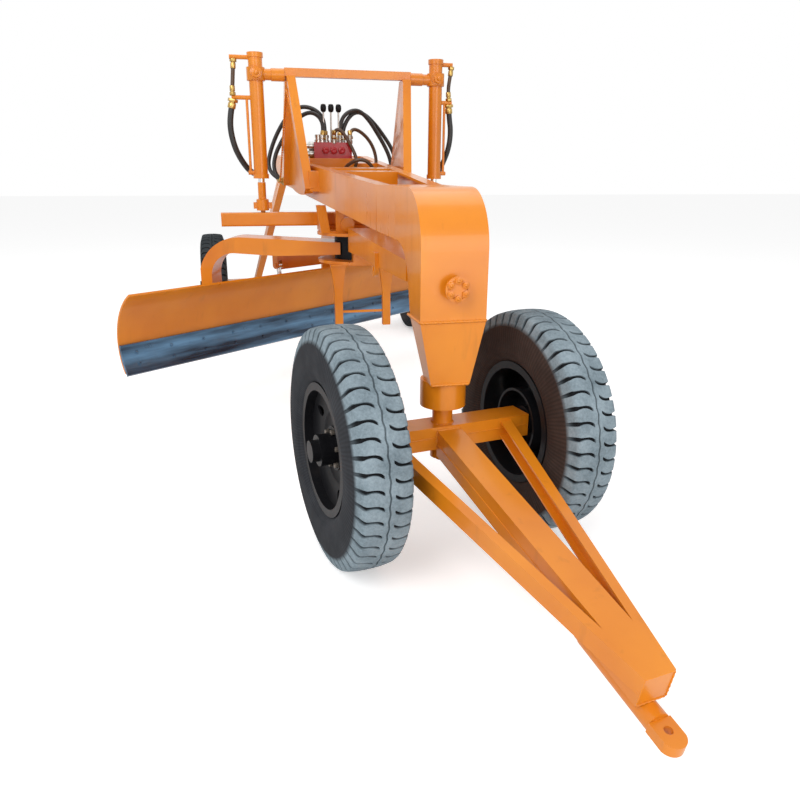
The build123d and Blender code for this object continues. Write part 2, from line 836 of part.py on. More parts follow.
# Lugs on the beam's sides for the anchor pin of a swing cylinder.
with BuildPart() as swing_anchors:
    for side in (-1, 1):
        with BuildSketch(Plane.YZ.offset(side * (draft_rear_half - 8))):
            with Locations((anchor_y, anchor_z)):
                Circle(anchor_radius)
            with Locations((anchor_y, anchor_z + anchor_radius)):
                Rectangle(2 * anchor_radius, 2 * anchor_radius)
            with Locations((anchor_y, anchor_z)):
                Circle(anchor_hole, mode=Mode.SUBTRACT)
        extrude(amount=side * anchor_wall)
    add(draft_beam.part, mode=Mode.SUBTRACT)
keep(swing_anchors, "swing_anchors")

# The housing is a clevis: two plates joined by a post, with the blade's yoke between them.
with BuildPart() as turntable_housing:
    for level in (housing_top, housing_bottom):
        with BuildSketch(Plane.XY.offset(level)):
            with Locations((0, turntable_y)):
                Circle(housing_radius)
            with Locations((0, turntable_y - housing_radius + housing_post_depth / 2)):
                Rectangle(2 * draft_rear_half, housing_post_depth)
            with Locations((0, turntable_y)):
                Circle(yoke_pin_radius + running, mode=Mode.SUBTRACT)
        extrude(amount=housing_plate)
    with BuildSketch(Plane.XY.offset(housing_bottom)):
        with Locations((0, post_front + housing_post_depth / 2)):
            Rectangle(housing_post_width, housing_post_depth)
    extrude(amount=housing_top + housing_plate - housing_bottom)
    with BuildSketch(Plane.XZ.offset(-post_front)):
        with Locations((0, (draft_rear_top + draft_rear_low) / 2)):
            Rectangle(2 * draft_rear_half, draft_rear_top - draft_rear_low)
    extrude(amount=-12)
keep(turntable_housing, "turntable_housing")

with BuildPart() as lift_beam:
    with BuildSketch(Plane.YZ.offset(-lift_beam_half)):
        with Locations((trunnion_y, lift_beam_top - lift_beam_height / 2)):
            RectangleRounded(lift_beam_depth, lift_beam_height, 10)
    extrude(amount=2 * lift_beam_half)
keep(lift_beam, "lift_beam")

ball_height = lift_beam_top + ball_stem
with BuildPart() as lift_balls:
    for side in (-1, 1):
        with BuildSketch(Plane.XY.offset(lift_beam_top)):
            with Locations((side * lift_half, trunnion_y)):
                Circle(ball_neck_radius)
        extrude(amount=ball_height - lift_beam_top)
        with Locations((side * lift_half, trunnion_y, ball_height)):
            Sphere(ball_radius)
keep(lift_balls, "lift_balls")

# Braces from the housing's top plate to the lift beam, with a disc beside each.
plate_top = housing_top + housing_plate
beam_front = trunnion_y - lift_beam_depth / 2
with BuildPart() as beam_braces:
    for side in (-1, 1):
        low, high = side * upright_half, side * (upright_half + upright_lean)
        with BuildSketch(Plane.XZ.offset(-upright_front)):
            with BuildLine():
                Polyline(
                    (low - upright_width / 2, plate_top),
                    (low + upright_width / 2, plate_top),
                    (high + upright_width / 2, upright_top),
                    (high - upright_width / 2, upright_top),
                    close=True,
                )
            make_face()
        extrude(amount=-upright_depth)
        with BuildSketch(Plane.YZ.offset(low)):
            with BuildLine():
                Polyline((upright_front + upright_depth / 2, plate_top),
                         (upright_front + upright_depth / 2, upright_top - 6),
                         (beam_front - 60, upright_top - 6), (beam_front, lift_beam_top),
                         (beam_front, plate_top), close=True)
            make_face()
        extrude(amount=side * upright_wall)
        with BuildSketch(Plane.XZ.offset(-upright_front)):
            with Locations((side * (disc_half + 40), (plate_top + upright_top - 20) / 2)):
                Rectangle(42, upright_top - 20 - plate_top)
        extrude(amount=-upright_wall)
        with BuildSketch(Plane.XZ.offset(-(upright_front - 16))):
            with Locations((side * disc_half, disc_height)):
                Circle(disc_radius)
        extrude(amount=-28)
    with BuildSketch(Plane.XY.offset(plate_top)):
        with Locations((0, trunnion_y)):
            Rectangle(2 * upright_half, lift_beam_depth)
    extrude(amount=lift_beam_top - lift_beam_height - plate_top)
    with BuildSketch(Plane.XY.offset(plate_top)):
        with Locations((0, upright_front + upright_wall / 2)):
            Rectangle(2 * upright_half, upright_wall)
    extrude(amount=10)
keep(beam_braces, "beam_braces")

stand_y = post_front + stand_setback
with BuildPart() as frame_stands:
    for side in (-1, 1):
        with BuildSketch(Plane.XZ.offset(-stand_y)):
            with BuildLine():
                Polyline(
                    (side * (stand_half - stand_width / 2), stand_bottom),
                    (side * (stand_half + stand_width / 2), stand_bottom),
                    (side * (stand_half + stand_width / 2), housing_bottom - 150),
                    (side * (stand_half + stand_top_width / 2), housing_bottom),
                    (side * (stand_half - stand_top_width / 2), housing_bottom),
                    (side * (stand_half - stand_width / 2), housing_bottom - 150),
                    close=True,
                )
            make_face()
        extrude(amount=-stand_thickness)
    with BuildSketch(Plane.YZ.offset(-(stand_half - stand_width / 2))):
        with Locations((stand_y + stand_thickness / 2, tie_rod_height)):
            Circle(tie_rod_radius)
    extrude(amount=2 * (stand_half - stand_width / 2))
    with BuildSketch(Plane.XY.offset(housing_bottom - 8)):
        with Locations((0, stand_y + stand_thickness / 2)):
            Rectangle(2 * stand_half + stand_top_width, 60)
    extrude(amount=8)
keep(frame_stands, "frame_stands")

# ---- Blade yoke ---------------------------------------------------------------------------
arm_angle = radians(arm_sweep)
with BuildPart() as yoke_hub:
    with BuildSketch(Plane.XY.offset(housing_bottom + housing_plate + gap)):
        Circle(hub_disc_radius)
    extrude(amount=housing_top - housing_bottom - housing_plate - 2 * gap)
    with BuildSketch(Plane.XY.offset(housing_bottom - 26)):
        Circle(yoke_pin_radius)
    extrude(amount=housing_top + housing_plate + 14 - housing_bottom + 26)
keep(yoke_hub, "yoke_hub", swung)

arms = {}
for side, name, kept in ((-1, "yoke_arm_right", Keep.BOTTOM), (1, "yoke_arm_left", Keep.TOP)):
    arm_dir = Vector(side * cos(arm_angle), sin(arm_angle), 0)
    across = Vector(0, 0, 1).cross(arm_dir)
    arm_plane = Plane(origin=across * (arm_depth / 2), x_dir=arm_dir, z_dir=across * -1)
    up = arm_plane.y_dir.Z
    with BuildPart() as arm:
        with BuildSketch(arm_plane):
            with BuildLine():
                root = (hub_disc_radius - 40, up * arm_root_top)
                top = Line(root, (arm_bend, up * arm_top))
                shoulder = TangentArc(top @ 1, (arm_reach, up * arm_shoulder), tangent=top % 1)
                outside = Line(shoulder @ 1, (arm_reach, up * arm_foot))
                foot = Line(outside @ 1, (arm_reach - arm_leg, up * arm_foot))
                inside = Line(foot @ 1, (arm_reach - arm_leg, up * arm_throat))
                pit = TangentArc(inside @ 1, (arm_pit, up * arm_pit_height), tangent=inside % 1)
                Polyline(pit @ 1, (arm_under, up * arm_under_height),
                         (hub_disc_radius - 40, up * arm_root_bottom), root)
            make_face()
        extrude(amount=arm_depth)
        with BuildSketch(Plane.XY.offset(arm_under_height - 100)):
            Circle(hub_disc_radius)
        extrude(amount=arm_top - arm_under_height + 200, mode=Mode.SUBTRACT)
        split(bisect_by=Plane.YZ, keep=kept)
    arms[name] = arm.part
    keep(arm, name, swung)

web_x = web_reach * cos(arm_angle)
web_y = web_reach * sin(arm_angle)
with BuildPart() as yoke_web:
    with BuildSketch(Plane.XY.offset(web_top - web_thickness)):
        with BuildLine():
            Polyline((0, hub_disc_radius), (-web_x, web_y), (0, web_y + 40), (web_x, web_y),
                     close=True)
        make_face()
    extrude(amount=web_thickness)
    for arm_part in arms.values():
        add(arm_part, mode=Mode.SUBTRACT)
keep(yoke_web, "yoke_web", swung)

# ---- Moldboard and cutting edge -----------------------------------------------------------
blade_centre_z = blade_clearance - blade_radius * sin(radians(blade_low))
blade_centre = (blade_lead, blade_centre_z)
edge_sweep = degrees(edge_height / blade_radius)


def arc_plate(radius, wall, low, high):
    """A curved plate's section: a ring's sector about the blade's centre."""
    with BuildSketch(Plane.YZ.offset(-blade_length / 2)) as section:
        with BuildLine():
            front = CenterArc(blade_centre, radius, low, high - low)
            back = CenterArc(blade_centre, radius + wall, low, high - low)
            Line(front @ 0, back @ 0)
            Line(front @ 1, back @ 1)
        make_face()
    return section


with BuildPart() as moldboard:
    section = arc_plate(blade_radius, blade_wall, blade_low + edge_overhang, blade_high)
    extrude(to_extrude=section.sketch, amount=blade_length)
    for angle in rib_angles:
        with BuildSketch(Plane.YZ.offset(-blade_length / 2 + rib_setback)):
            reach = blade_radius + blade_wall + rib_depth / 2 - 2
            with Locations((blade_lead + reach * cos(radians(angle)),
                            blade_centre_z + reach * sin(radians(angle)))):
                Rectangle(rib_depth, rib_height, rotation=angle)
        extrude(amount=blade_length - 2 * rib_setback)
keep(moldboard, "moldboard", swung)

with BuildPart() as cutting_edge:
    section = arc_plate(blade_radius - edge_wall, edge_wall, blade_low, blade_low + edge_sweep)
    extrude(to_extrude=section.sketch, amount=blade_length)
keep(cutting_edge, "cutting_edge", swung)

foot_x = (arm_reach - arm_leg / 2) * cos(arm_angle)
foot_y = (arm_reach - arm_leg / 2) * sin(arm_angle)
with BuildPart() as arm_feet:
    for side in (-1, 1):
        with BuildSketch(Plane.YZ.offset(side * foot_x - foot_width / 2)):
            with Locations((foot_y, (arm_foot + foot_pin_height) / 2)):
                Rectangle(foot_depth, arm_foot - foot_pin_height)
            with Locations((foot_y, foot_pin_height)):
                Circle(foot_depth / 2)
                Circle(foot_pin_radius + running, mode=Mode.SUBTRACT)
        extrude(amount=foot_width)
keep(arm_feet, "arm_feet", swung)

cheek_root = blade_lead + blade_radius - 60
cheek_x = foot_width / 2 + cheek_gap
tilt_half = tilt_eye_width / 2 + tilt_cheek_gap
blade_back = blade_radius + blade_wall
with BuildPart() as blade_brackets:
    for side in (-1, 1):
        for start in (-cheek_x - cheek_wall, cheek_x):
            with BuildSketch(Plane.YZ.offset(side * foot_x + start)):
                with BuildLine():
                    Polyline((cheek_root, foot_pin_height - cheek_drop),
                             (foot_y + 14, foot_pin_height - cheek_radius + 4),
                             (foot_y + 14, foot_pin_height + cheek_radius - 4),
                             (cheek_root, foot_pin_height + cheek_rise), close=True)
                make_face()
                with Locations((foot_y, foot_pin_height)):
                    Circle(cheek_radius)
            extrude(amount=cheek_wall)
        with BuildSketch(Plane.YZ.offset(side * foot_x - cheek_x - cheek_wall - 10)):
            with Locations((foot_y, foot_pin_height)):
                Circle(foot_pin_radius)
        extrude(amount=2 * (cheek_x + cheek_wall + 10))
    for start in (-tilt_half - tilt_cheek, tilt_half):
        with BuildSketch(Plane.YZ.offset(tilt_x + start)):
            with BuildLine():
                Polyline((cheek_root, tilt_foot_z - 40), (tilt_foot_y, tilt_foot_z - 22),
                         (tilt_foot_y, tilt_foot_z + 22), (cheek_root, tilt_foot_z + 40),
                         close=True)
            make_face()
            with Locations((tilt_foot_y, tilt_foot_z)):
                Circle(22)
        extrude(amount=tilt_cheek)
    with BuildSketch(Plane.YZ.offset(tilt_x - tilt_half - tilt_cheek - 6)):
        with Locations((tilt_foot_y, tilt_foot_z)):
            Circle(tilt_pin_radius)
    extrude(amount=2 * (tilt_half + tilt_cheek + 6))
    with BuildSketch(Plane.YZ.offset(-blade_length / 2)):
        with Locations(blade_centre):
            Circle(blade_back)
    extrude(amount=blade_length, mode=Mode.SUBTRACT)
    add(moldboard.part, mode=Mode.SUBTRACT)
keep(blade_brackets, "blade_brackets", swung)

# ---- Tilt cylinder ------------------------------------------------------------------------
# A plate off the left-hand arm carries the pin of the rod's eye; the barrel stands on the
# moldboard's back. The tilt plane's z axis runs along the cylinder, from its foot.
tilt_length = hypot(tilt_eye_y - tilt_foot_y, tilt_eye_z - tilt_foot_z)
tilt_plane = Plane(
    origin=(tilt_x, tilt_foot_y, tilt_foot_z),
    x_dir=(1, 0, 0),
    z_dir=(0, tilt_eye_y - tilt_foot_y, tilt_eye_z - tilt_foot_z),
)
bridge_low = tilt_eye_z + tilt_eye_radius + 9
tilt_hole = tilt_pin_radius + tilt_eye_play
with BuildPart() as tilt_bracket:
    for start in (-tilt_half - tilt_cheek, tilt_half):
        with BuildSketch(Plane.YZ.offset(tilt_x + start)):
            with Locations((tilt_eye_y, tilt_eye_z)):
                Circle(tilt_eye_radius)
            with Locations((tilt_eye_y, (tilt_eye_z + tilt_plate_top) / 2)):
                Rectangle(2 * tilt_eye_radius, tilt_plate_top - tilt_eye_z)
        extrude(amount=tilt_cheek)
    with BuildSketch(Plane.YZ.offset(tilt_x - tilt_half)):
        with Locations((tilt_eye_y, (bridge_low + tilt_plate_top) / 2)):
            Rectangle(2 * tilt_eye_radius, tilt_plate_top - bridge_low)
    extrude(amount=2 * tilt_half)
    with BuildSketch(Plane.YZ.offset(tilt_x - tilt_half - tilt_cheek - 6)):
        with Locations((tilt_eye_y, tilt_eye_z)):
            Circle(tilt_pin_radius)
    extrude(amount=2 * (tilt_half + tilt_cheek + 6))
    with BuildSketch(Plane.XZ.offset(-tilt_plate_y)):
        with BuildLine():
            Polyline((tilt_x + tilt_half, tilt_plate_low), (tilt_x + tilt_half, tilt_plate_top),
                     (tilt_plate_end, tilt_plate_top), (tilt_plate_end, tilt_plate_low),
                     close=True)
        make_face()
    extrude(amount=-tilt_plate_wall)
    add(arms["yoke_arm_left"], mode=Mode.SUBTRACT)
keep(tilt_bracket, "tilt_bracket", swung)

with BuildPart() as tilt_barrel:
    with BuildSketch(tilt_plane.offset(tilt_barrel_start)):
        Circle(tilt_barrel_radius)
    extrude(amount=tilt_barrel_end - tilt_barrel_start)
    with BuildSketch(tilt_plane.offset(tilt_barrel_start + tilt_barrel_wall)):
        Circle(tilt_barrel_bore)
    extrude(amount=tilt_barrel_end - tilt_barrel_start - 2 * tilt_barrel_wall,
            mode=Mode.SUBTRACT)
    with BuildSketch(tilt_plane.offset(tilt_barrel_end - tilt_barrel_wall)):
        Circle(tilt_rod_radius + running)
    extrude(amount=tilt_barrel_wall, mode=Mode.SUBTRACT)
    with BuildSketch(tilt_plane):
        Rectangle(tilt_eye_width, 28)
    extrude(amount=tilt_barrel_start)
    with BuildSketch(Plane.YZ.offset(tilt_x - tilt_eye_width / 2)):
        with Locations((tilt_foot_y, tilt_foot_z)):
            Circle(tilt_eye_radius)
    extrude(amount=tilt_eye_width)
    with BuildSketch(Plane.YZ.offset(tilt_x - tilt_eye_width / 2)):
        with Locations((tilt_foot_y, tilt_foot_z)):
            Circle(tilt_pin_radius + running)
    extrude(amount=tilt_eye_width, mode=Mode.SUBTRACT)
keep(tilt_barrel, "tilt_barrel", swung)

with BuildPart() as tilt_rod:
    with BuildSketch(tilt_plane.offset(tilt_barrel_start + tilt_barrel_wall + 40)):
        Circle(tilt_barrel_bore - running)
    extrude(amount=tilt_piston)
    with BuildSketch(tilt_plane.offset(tilt_barrel_start + tilt_barrel_wall + 40)):
        Circle(tilt_rod_radius)
    extrude(amount=tilt_length - tilt_barrel_start - tilt_barrel_wall - 40 - tilt_hole - 2)
    with BuildSketch(Plane.YZ.offset(tilt_x - tilt_eye_width / 2)):
        with Locations((tilt_eye_y, tilt_eye_z)):
            Circle(tilt_eye_radius)
    extrude(amount=tilt_eye_width)
    with BuildSketch(Plane.YZ.offset(tilt_x - tilt_eye_width / 2)):
        with Locations((tilt_eye_y, tilt_eye_z)):
            Circle(tilt_hole)
    extrude(amount=tilt_eye_width, mode=Mode.SUBTRACT)
keep(tilt_rod, "tilt_rod", swung)

# ---- Lift cylinders -----------------------------------------------------------------------
lift_cylinders = (
    # side, name, reach of the upper ports from the barrel's surface
    (-1, "right", 95.0),
    (1, "left", 58.0),
)
pipe_out = barrel_radius + port_pipe_gap + port_pipe_radius
for side, name, port_reach in lift_cylinders:
    with BuildPart() as barrel:
        with BuildSketch(Plane.XY.offset(barrel_bottom)):
            with Locations((side * lift_half, trunnion_y)):
                Circle(barrel_radius)
        extrude(amount=barrel_top - barrel_bottom)
        for level in (barrel_bottom, barrel_top - barrel_end):
            with BuildSketch(Plane.XY.offset(level)):
                with Locations((side * lift_half, trunnion_y)):
                    Circle(barrel_flange)
            extrude(amount=barrel_end)
        with BuildSketch(Plane.XY.offset(trunnion_height - yoke_height / 2)):
            with Locations((side * lift_half, trunnion_y)):
                Circle(yoke_radius)
        extrude(amount=yoke_height)
        with BuildSketch(Plane.YZ.offset(side * (boss_outer + gap))):
            with Locations((trunnion_y, trunnion_height)):
                Circle(boss_radius - 4)
        extrude(amount=side * (lift_half - boss_outer - gap))
        with BuildSketch(Plane.YZ.offset(side * (boss_inner + gap))):
            with Locations((trunnion_y, trunnion_height)):
                Circle(trunnion_radius)
        extrude(amount=side * (lift_half - boss_inner - gap))
        with BuildSketch(Plane.XZ.offset(-(trunnion_y - yoke_radius - 12))):
            with Locations((side * lift_half, trunnion_height)):
                Circle(17)
        extrude(amount=-2 * (yoke_radius + 12))
        ports = (*((level, port_reach) for level in port_heights), (port_low, port_low_reach))
        for level, reach in ports:
            with BuildSketch(Plane.YZ.offset(side * lift_half)):
                with Locations((trunnion_y, level)):
                    Circle(port_radius)
            extrude(amount=side * (barrel_radius + reach))
        with BuildSketch(Plane.XY.offset(port_low)):
            with Locations((side * (lift_half + pipe_out), trunnion_y)):
                Circle(port_pipe_radius)
        extrude(amount=port_heights[1] - port_low)
        with BuildSketch(Plane.XY.offset(barrel_bottom + barrel_end)):
            with Locations((side * lift_half, trunnion_y)):
                Circle(barrel_bore)
        extrude(amount=barrel_top - barrel_bottom - 2 * barrel_end, mode=Mode.SUBTRACT)
        with BuildSketch(Plane.XY.offset(barrel_bottom)):
            with Locations((side * lift_half, trunnion_y)):
                Circle(lift_rod_radius + running)
        extrude(amount=barrel_end, mode=Mode.SUBTRACT)
    keep(barrel, f"lift_barrel_{name}")

    cup_top = ball_height + cup_height / 2
    ear_low = ball_height - 2 - cup_ear_height / 2
    with BuildPart() as rod:
        with BuildSketch(Plane.XZ):
            with BuildLine():
                Polyline(
                    (0, barrel_top - barrel_end - 20),
                    (barrel_bore - running, barrel_top - barrel_end - 20),
                    (barrel_bore - running, barrel_top - barrel_end - 20 - piston_height),
                    (lift_rod_radius, barrel_top - barrel_end - 20 - piston_height),
                    (lift_rod_radius, barrel_bottom - 20),
                    (lift_rod_radius + 4, barrel_bottom - 20),
                    (lift_rod_radius + 4, cup_top + 6),
                    (cup_radius, cup_top),
                    (cup_radius, cup_top - cup_height),
                    (cup_bore, cup_top - cup_height),
                    (cup_bore, cup_top - 6),
                    (0, cup_top - 6),
                    close=True,
                )
            make_face()
        revolve(axis=Axis.Z)
        with BuildSketch(Plane.XY.offset(ear_low)):
            Rectangle(2 * cup_ear_half, cup_ear_depth)
            Circle(cup_bore, mode=Mode.SUBTRACT)
        extrude(amount=cup_ear_height)
    keep(rod, f"lift_rod_{name}", Location((side * lift_half, trunnion_y, 0)))

# ---- Control valve ------------------------------------------------------------------------
stand_along = (valve_y - rail_front) / cos(radians(deck_rise))
valve_plane = deck.offset(valve_stand_height)
with BuildPart() as valve_stand:
    with BuildSketch(deck):
        with Locations((valve_x, stand_along)):
            Rectangle(valve_width + 60, valve_depth + 30)
    extrude(amount=valve_stand_height)
keep(valve_stand, "valve_stand")

with BuildPart() as control_valve:
    with BuildSketch(valve_plane):
        with Locations((valve_x, stand_along)):
            Rectangle(valve_width, valve_depth)
    extrude(amount=valve_height)
keep(control_valve, "control_valve")

with BuildPart() as valve_levers:
    for step in range(lever_count):
        x = valve_x + (step - (lever_count - 1) / 2) * lever_pitch
        with BuildSketch(valve_plane.offset(valve_height)):
            with Locations((x, stand_along + 20)):
                Circle(lever_radius)
        extrude(amount=lever_height)
        with BuildSketch(valve_plane.offset(valve_height + lever_height)):
            with Locations((x, stand_along + 20)):
                Circle(knob_radius)
        extrude(amount=knob_height)
keep(valve_levers, "valve_levers")

# ---- Origin and export --------------------------------------------------------------------
# The origin is on the ground, under the middle of the machine as it stands.
boxes = [piece.bounding_box() for piece in pieces.values()]
low_x, high_x = min(box.min.X for box in boxes), max(box.max.X for box in boxes)
low_y, high_y = min(box.min.Y for box in boxes), max(box.max.Y for box in boxes)
low_z, high_z = min(box.min.Z for box in boxes), max(box.max.Z for box in boxes)
to_origin = Location((-round((low_x + high_x) / 2), -round((low_y + high_y) / 2), -low_z))
print("moved by", to_origin.position)
print("size", high_x - low_x, high_y - low_y, high_z - low_z)
for name, piece in pieces.items():
    placed = to_origin * piece
    print(name, len(placed.solids()), round(placed.volume / 1e6, 2), placed.is_valid)
    solids = placed.solids()
    placed = solids[0] if len(solids) == 1 else Compound(solids)
    placed.label = name
    export_step(placed, f"parts/{name}.step")
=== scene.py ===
import json
import math
import bmesh
import bpy
import numpy as np
from mathutils import Euler, Matrix, Vector


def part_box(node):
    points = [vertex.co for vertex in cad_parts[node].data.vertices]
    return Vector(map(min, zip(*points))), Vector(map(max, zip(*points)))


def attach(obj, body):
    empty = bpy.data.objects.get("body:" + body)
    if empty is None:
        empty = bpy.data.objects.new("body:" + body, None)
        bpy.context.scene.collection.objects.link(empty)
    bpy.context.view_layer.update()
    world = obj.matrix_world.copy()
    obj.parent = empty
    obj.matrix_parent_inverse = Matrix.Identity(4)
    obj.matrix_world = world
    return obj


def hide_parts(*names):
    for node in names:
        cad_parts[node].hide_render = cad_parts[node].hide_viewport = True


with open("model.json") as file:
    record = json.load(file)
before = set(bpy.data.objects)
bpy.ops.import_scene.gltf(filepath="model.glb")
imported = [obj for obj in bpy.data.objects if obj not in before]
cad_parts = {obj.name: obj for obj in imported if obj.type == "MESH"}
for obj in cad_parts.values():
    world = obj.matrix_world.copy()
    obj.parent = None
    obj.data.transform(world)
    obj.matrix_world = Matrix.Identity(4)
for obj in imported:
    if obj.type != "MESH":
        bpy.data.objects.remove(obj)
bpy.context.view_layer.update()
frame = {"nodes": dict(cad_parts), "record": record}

scene = bpy.context.scene
scene.view_settings.view_transform = "Standard"

# ---- Camera ----
# Stands in front and to the right of the machine at eye height, looking down along it.
camera = bpy.data.objects.new("camera", bpy.data.cameras.new("camera"))
scene.collection.objects.link(camera)
camera.data.lens = 31.5
camera.location = (-0.512, -3.627, 1.261)
look = Euler((math.radians(90 - 17.93), 0, math.radians(-13.24)), "XYZ").to_matrix()
camera.rotation_euler = (look @ Matrix.Rotation(math.radians(0.24), 3, "Z")).to_euler()
scene.camera = camera

# ---- Floor and light ----
# Plain white floor that runs out of sight, one large soft key from the front left of the
# view, a low one behind the camera, a soft lamp overhead and an even white sky.
bpy.ops.mesh.primitive_plane_add(size=80)
floor = bpy.context.object
floor.name = "floor"
floor_material = bpy.data.materials.new("floor")
floor_material.use_nodes = True
tree = floor_material.node_tree
plain = tree.nodes["Principled BSDF"]
plain.inputs["Base Color"].default_value = (0.93, 0.93, 0.93, 1)
plain.inputs["Roughness"].default_value = 0.95
plain.inputs["Specular IOR Level"].default_value = 0.0
plain.inputs["Emission Color"].default_value = (1, 1, 1, 1)
seen = tree.nodes.new("ShaderNodeLightPath")
share = tree.nodes.new("ShaderNodeMath")
share.operation = "MULTIPLY"
floor_lift = 0.40
share.inputs[1].default_value = floor_lift
tree.links.new(seen.outputs["Is Camera Ray"], share.inputs[0])
tree.links.new(share.outputs[0], plain.inputs["Emission Strength"])
floor.data.materials.append(floor_material)
world = bpy.data.worlds.new("sky")
scene.world = world
world.use_nodes = True
tree = world.node_tree
seen = tree.nodes.new("ShaderNodeLightPath")
either = tree.nodes.new("ShaderNodeMath")
either.operation = "MAXIMUM"
tree.links.new(seen.outputs["Is Camera Ray"], either.inputs[0])
tree.links.new(seen.outputs["Is Glossy Ray"], either.inputs[1])
sky_level = tree.nodes.new("ShaderNodeMapRange")
sky_strength = 0.58
sky_level.inputs["To Min"].default_value = sky_strength
sky_level.inputs["To Max"].default_value = 1.0
tree.links.new(either.outputs[0], sky_level.inputs["Value"])
tree.nodes["Background"].inputs["Color"].default_value = (1, 1, 1, 1)
tree.links.new(sky_level.outputs[0], tree.nodes["Background"].inputs["Strength"])
aim = Vector((0, 0, 0.6))
for name, place, size, power in (
    ("key", (-4.0, -5.5, 4.8), 4.0, 270.0),
    ("fill", (2.2, -7.5, 1.8), 4.0, 130.0),
    ("top", (0.0, 1.0, 6.5), 5.0, 110.0),
):
    lamp = bpy.data.objects.new(name, bpy.data.lights.new(name, "AREA"))
    scene.collection.objects.link(lamp)
    lamp.data.size = size
    lamp.data.energy = power
    lamp.location = place
    lamp.rotation_euler = (aim - Vector(place)).to_track_quat("-Z", "Y").to_euler()


# ---- Materials ----
class Value:
    """A shader socket: sums on it add Math nodes, and node() adds any other node."""

    def __init__(self, tree, socket):
        self.tree, self.socket = tree, socket

    def node(self, kind, inputs, out=0, **settings):
        made = self.tree.nodes.new(kind)
        for key, setting in settings.items():
            setattr(made, key, setting)
        for key, given in inputs.items():
            if isinstance(given, Value):
                self.tree.links.new(given.socket, made.inputs[key])
            else:
                made.inputs[key].default_value = given
        return Value(self.tree, made.outputs[out])

    def math(self, operation, *others):
        return self.node("ShaderNodeMath", dict(enumerate((self, *others))), operation=operation)

    def __add__(self, other):
        return self.math("ADD", other)

    def __sub__(self, other):
        return self.math("SUBTRACT", other)

    def __mul__(self, other):
        return self.math("MULTIPLY", other)

    def __rsub__(self, other):
        return self.node("ShaderNodeMath", {0: other, 1: self}, operation="SUBTRACT")

    __radd__, __rmul__ = __add__, __mul__

    def spread(self, low, high):
        """0 at low, 1 at high, held between."""
        return self.node("ShaderNodeMapRange", {"Value": self, "From Min": low, "From Max": high})

    def noise(self, scale, detail=3.0, roughness=0.5):
        return self.node("ShaderNodeTexNoise",
                         {"Vector": self, "Scale": scale, "Detail": detail,
                          "Roughness": roughness}, out="Fac")

    def mix(self, first, second):
        """Colours: first where this is 0, second where it is 1."""
        return self.node("ShaderNodeMix", {0: self, 6: first, 7: second}, out=2,
                         data_type="RGBA")


def new_material(name, metallic=0.0, coat=0.0, coat_roughness=0.1):
    """A Principled material, with its shader, and its object coordinates as a Value."""
    material = bpy.data.materials.new(name)
    material.use_nodes = True
    tree = material.node_tree
    shader = tree.nodes["Principled BSDF"]
    shader.inputs["Metallic"].default_value = metallic
    shader.inputs["Coat Weight"].default_value = coat
    shader.inputs["Coat Roughness"].default_value = coat_roughness
    place = Value(tree, tree.nodes.new("ShaderNodeTexCoord").outputs["Object"])
    return material, shader, place


def finish_with(shader, place, colour, roughness, height, distance, strength=1.0):
    """Connect colour, roughness and a bump from a height in metres."""
    tree = place.tree
    tree.links.new(colour.socket, shader.inputs["Base Color"])
    tree.links.new(roughness.socket, shader.inputs["Roughness"])
    bump = place.node("ShaderNodeBump", {"Height": height, "Distance": distance,
                                         "Strength": strength})
    tree.links.new(bump.socket, shader.inputs["Normal"])


def paint(name, deep, bright, shine, grime, grime_share, coat=0.35):
    """Sprayed paint over steel: clouded colour, orange peel, faint streaks and dust."""
    material, shader, place = new_material(name, coat=coat, coat_roughness=0.12)
    shader.inputs["Specular IOR Level"].default_value = coat
    clouds = place.noise(2.2, 4.0)
    streaks = place.node("ShaderNodeMapping", {"Vector": place, "Scale": (9, 9, 1.5)})
    smear = streaks.noise(2.0, 5.0, 0.6)
    colour = clouds.spread(0.35, 0.65).mix(deep, bright)
    dirty = smear.spread(0.60, 0.80) * grime_share
    colour = dirty.mix(colour, grime)
    peel = place.noise(260.0, 2.0)
    ripple = place.noise(14.0, 3.0)
    height = peel * 0.25 + ripple * 0.9
    finish_with(shader, place, colour, clouds * 0.12 + smear * 0.14 + (shine - 0.12), height,
                0.0012, 0.35)
    return material


amber_deep, amber_bright = (0.62, 0.172, 0.006, 1), (0.75, 0.245, 0.010, 1)
orange = paint("orange_paint", amber_deep, amber_bright, 0.30, (0.22, 0.075, 0.010, 1), 0.30)
red = paint("red_paint", (0.36, 0.010, 0.016, 1), (0.50, 0.030, 0.040, 1), 0.36,
            (0.08, 0.02, 0.02, 1), 0.6)
black = paint("black_paint", (0.004, 0.004, 0.005, 1), (0.012, 0.012, 0.014, 1), 0.42,
              (0.045, 0.036, 0.028, 1), 0.25, 0.10)


def steel(name, dark, light, rough, metallic=1.0, scale=90.0):
    """Bare metal with drawn scratches and tarnish."""
    material, shader, place = new_material(name, metallic)
    tarnish = place.noise(11.0, 5.0, 0.6)
    grain = place.noise(scale, 4.0)
    finish_with(shader, place, tarnish.spread(0.3, 0.75).mix(light, dark),
                tarnish * 0.25 + grain * 0.1 + (rough - 0.17), grain, 0.0006, 0.3)
    return material


zinc = steel("zinc", (0.33, 0.32, 0.29, 1), (0.70, 0.69, 0.66, 1), 0.32)
chrome = steel("chrome", (0.60, 0.60, 0.60, 1), (0.86, 0.86, 0.86, 1), 0.16)
brass = steel("brass", (0.30, 0.19, 0.05, 1), (0.66, 0.44, 0.15, 1), 0.34)
worn = steel("worn_steel", (0.09, 0.07, 0.055, 1), (0.26, 0.23, 0.20, 1), 0.5, 0.8)

